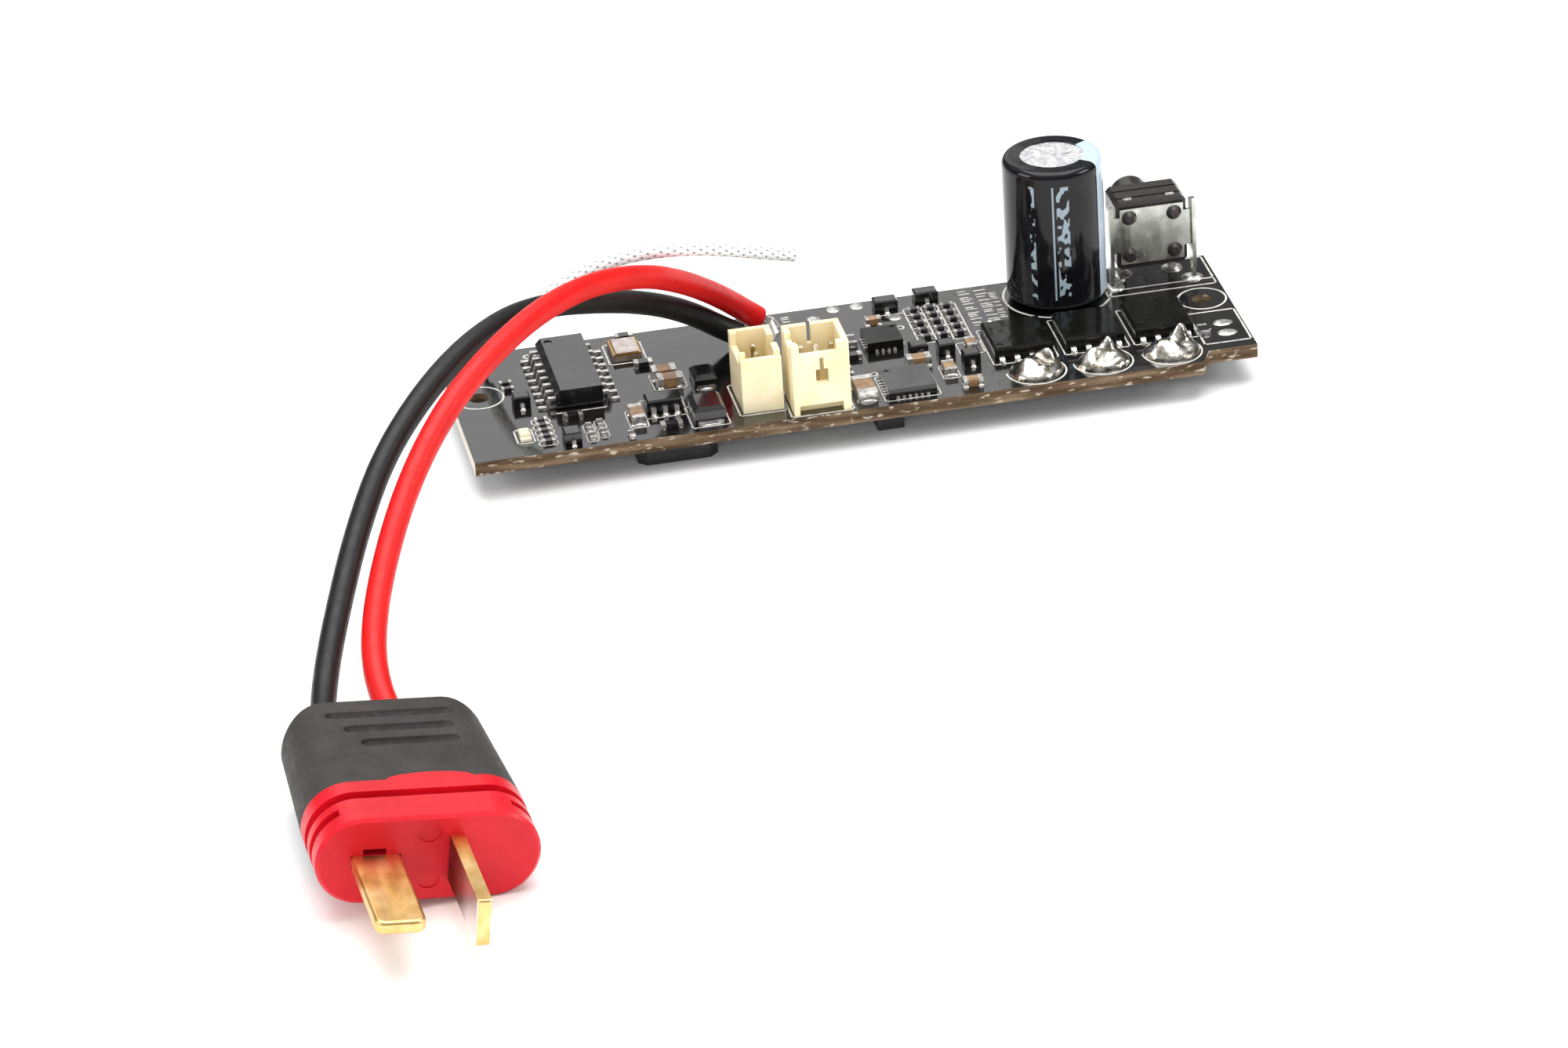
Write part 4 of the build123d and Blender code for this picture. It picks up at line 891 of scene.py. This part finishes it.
# ---------------------------------------------------------------- switch and headers
moulded = Look("switch_plastic", (0.016, 0.012, 0.011), 0.34, coat=0.15)
moulded.colour(moulded.mottle(1.5, 3, (0.013, 0.010, 0.009), (0.022, 0.017, 0.015)))
moulded.rough(moulded.noise(0.5, 4), 0.24, 0.46)
moulded.bump(moulded.noise(0.18, 4), 0.02, 0.6)
dress(moulded, "switch_body", "switch_plunger")

nylon = Look("header_nylon", (0.80, 0.70, 0.49), 0.42, specular=0.45)
nylon.set("Subsurface Weight", 0.25)
nylon.set("Subsurface Radius", (0.5 * MM, 0.38 * MM, 0.2 * MM))
nylon.set("Subsurface Scale", 1.0)
nylon.colour(nylon.mottle(3.0, 4, (0.82, 0.70, 0.42), (0.93, 0.84, 0.58)))
nylon.rough(nylon.noise(0.5, 4), 0.34, 0.52)
nylon.bump(nylon.noise(0.2, 4), 0.02, 0.5)
dress(nylon, "two_pin_header", "three_pin_header")

# ---------------------------------------------------------------- leads and plug


def silicone(name, dark, light, speck):
    """Soft matt lead insulation with fine grain and a little dust."""
    look = Look(name, light, 0.42, specular=0.3)
    body = look.ramp(look.noise(4.0, 4), (0.3, dark), (0.7, light))
    look.colour(look.between(look.span(look.cells(1.1), 0.05, 0.035), body, speck))
    look.rough(look.noise(0.8, 4), 0.34, 0.5)
    look.bump(look.noise(0.15, 4), 0.012, 0.6)
    return look


dress(silicone("red_silicone", (0.58, 0.0035, 0.0035), (0.68, 0.006, 0.005), (0.85, 0.2, 0.16)),
      "red_lead_skin", "red_lead")
dress(silicone("black_silicone", (0.005, 0.005, 0.005), (0.010, 0.010, 0.010), (0.10, 0.10, 0.10)),
      "black_lead_skin", "black_lead")

braid = Look("antenna_braid", (0.75, 0.75, 0.74), 0.34, metallic=0.0, coat=0.3)
proud = braid.node("ShaderNodeAttribute", attribute_name="braid").outputs["Fac"]
# painted shade: the low hollows between the strands are coloured dark, while the proud strands keep the
# braid's own pale colour
BRAID_HOLLOW_SHADE_STOPS = ((0.15, (0.16, 0.16, 0.165)), (0.5, (0.50, 0.50, 0.50)), (0.8, (0.86, 0.86, 0.85)))
braid.colour(braid.ramp(proud, *BRAID_HOLLOW_SHADE_STOPS))
braid.bump(braid.noise(0.06, 2, (4, 1, 1)), 0.008, 0.4)
dress(braid, "antenna_braid", "antenna")

shell = Look("plug_nylon", (0.6, 0.004, 0.014), 0.36, specular=0.35)
shell.set("Subsurface Weight", 0.15)
shell.set("Subsurface Radius", (1.2 * MM, 0.2 * MM, 0.2 * MM))
shell.set("Subsurface Scale", 1.0)
shell.colour(shell.mottle(5.0, 4, (0.50, 0.003, 0.012), (0.64, 0.006, 0.018)))
shell.rough(shell.noise(0.7, 5), 0.3, 0.46)
shell.bump(shell.layered((1.8, 3), (0.15, 4), 0.06), 0.03, 0.5)
dress(shell, "plug_body")

PLUG_FRONT = (-46.0, -74.7)      # middle of the plug's front face
PLUG_HEADING = math.radians(2.4)
GRIP_GROOVES = ((0.9, 12.1, 6.2), (0.5, 14.4, 7.1), (0.2, 16.7, 8.5))     # x, depth, length
grip = Look("grip_rubber", (0.02, 0.021, 0.022), 0.62, specular=0.3)
grip_x, grip_y, _ = grip.axes()
from_front_x = grip.math("SUBTRACT", grip_x, PLUG_FRONT[0] * MM)
from_front_y = grip.math("SUBTRACT", grip_y, PLUG_FRONT[1] * MM)
cosine, sine = math.cos(PLUG_HEADING), math.sin(PLUG_HEADING)
across = grip.math(
    "ADD",
    grip.math("MULTIPLY", from_front_x, cosine),
    grip.math("MULTIPLY", from_front_y, sine),
)
behind = grip.math(
    "SUBTRACT",
    grip.math("MULTIPLY", from_front_y, cosine),
    grip.math("MULTIPLY", from_front_x, sine),
)
# painted shade: the rubber is darkened along each grip groove, as if shaded in its hollow
painted_groove_shade = 0.0
for middle, depth, length in GRIP_GROOVES:
    line = window(grip, behind, (depth - 0.25) * MM, (depth + 0.3) * MM, 0.3 * MM)
    reach = window(grip, across, (middle - length / 2) * MM, (middle + length / 2) * MM, 0.7 * MM)
    painted_groove_shade = grip.math("ADD", grip.math("MULTIPLY", line, reach), painted_groove_shade, clamp=True)
rubber = grip.between(grip.span(grip.cells(1.4), 0.05, 0.03),
                      grip.mottle(3.0, 5, (0.026, 0.023, 0.021), (0.044, 0.040, 0.036)),
                      (0.13, 0.125, 0.12))
# the grooves' painted shade is mixed over the rubber's own colour
grip.colour(grip.between(grip.math("MULTIPLY", painted_groove_shade, 0.8), rubber, (0.006, 0.005, 0.005)))
grip.rough(grip.noise(0.6, 5), 0.5, 0.74)
grip.bump(grip.noise(0.16, 4), 0.025, 0.7)
dress(grip, "plug_sleeve")

# ---------------------------------------------------------------- floor and light
floor_mesh = bmesh.new()
bmesh.ops.create_grid(floor_mesh, x_segments=1, y_segments=1, size=4)
floor_data = bpy.data.meshes.new("floor")
floor_mesh.to_mesh(floor_data)
floor_mesh.free()
floor = bpy.data.objects.new("floor", floor_data)
bpy.context.scene.collection.objects.link(floor)
paper = Look("floor_paper", (0.93, 0.93, 0.93), 0.9, specular=0.1)
floor.data.materials.append(paper.material)


def lamp_panel(name, place, aim, size, power, mirrored=True):
    """A square soft light at place, facing aim; mirrored lights show in shiny surfaces."""
    data = bpy.data.lights.new(name, "AREA")
    data.shape = "SQUARE"
    data.size = size
    data.energy = power
    panel = bpy.data.objects.new(name, data)
    panel.location = place
    panel.rotation_euler = (Vector(aim) - Vector(place)).to_track_quat("-Z", "Y").to_euler()
    panel.visible_glossy = mirrored
    bpy.context.scene.collection.objects.link(panel)


lamp_panel("top_light", (0.05, 0.15, 0.9), (0, 0, 0), 0.9, 10)
lamp_panel("left_light", (-0.9, -0.1, 0.5), (0, 0, 0), 0.5, 4)
lamp_panel("right_light", (0.8, -0.3, 0.5), (0, 0, 0), 0.4, 3)
lamp_panel("front_light", (-0.2, -0.9, 0.25), (0, 0, 0), 0.6, 4, mirrored=False)
lamp_panel("back_light", (-0.02, 0.99, 0.48), (0, 0, 0), 0.5, 0.76)

world = bpy.data.worlds.new("studio")
bpy.context.scene.world = world
world.use_nodes = True
sky = world.node_tree
background = sky.nodes["Background"]
direction = sky.nodes.new("ShaderNodeTexCoord")
split = sky.nodes.new("ShaderNodeSeparateXYZ")
gradient = sky.nodes.new("ShaderNodeValToRGB")
gradient.color_ramp.elements[0].position = 0.35
gradient.color_ramp.elements[0].color = (0.12, 0.12, 0.12, 1)
gradient.color_ramp.elements[1].position = 0.9
gradient.color_ramp.elements[1].color = (1, 1, 1, 1)
sky.links.new(direction.outputs["Generated"], split.inputs["Vector"])
sky.links.new(split.outputs["Z"], gradient.inputs["Fac"])
sky.links.new(gradient.outputs["Color"], background.inputs["Color"])
background.inputs["Strength"].default_value = 0.8

bpy.context.scene.view_settings.view_transform = "Standard"
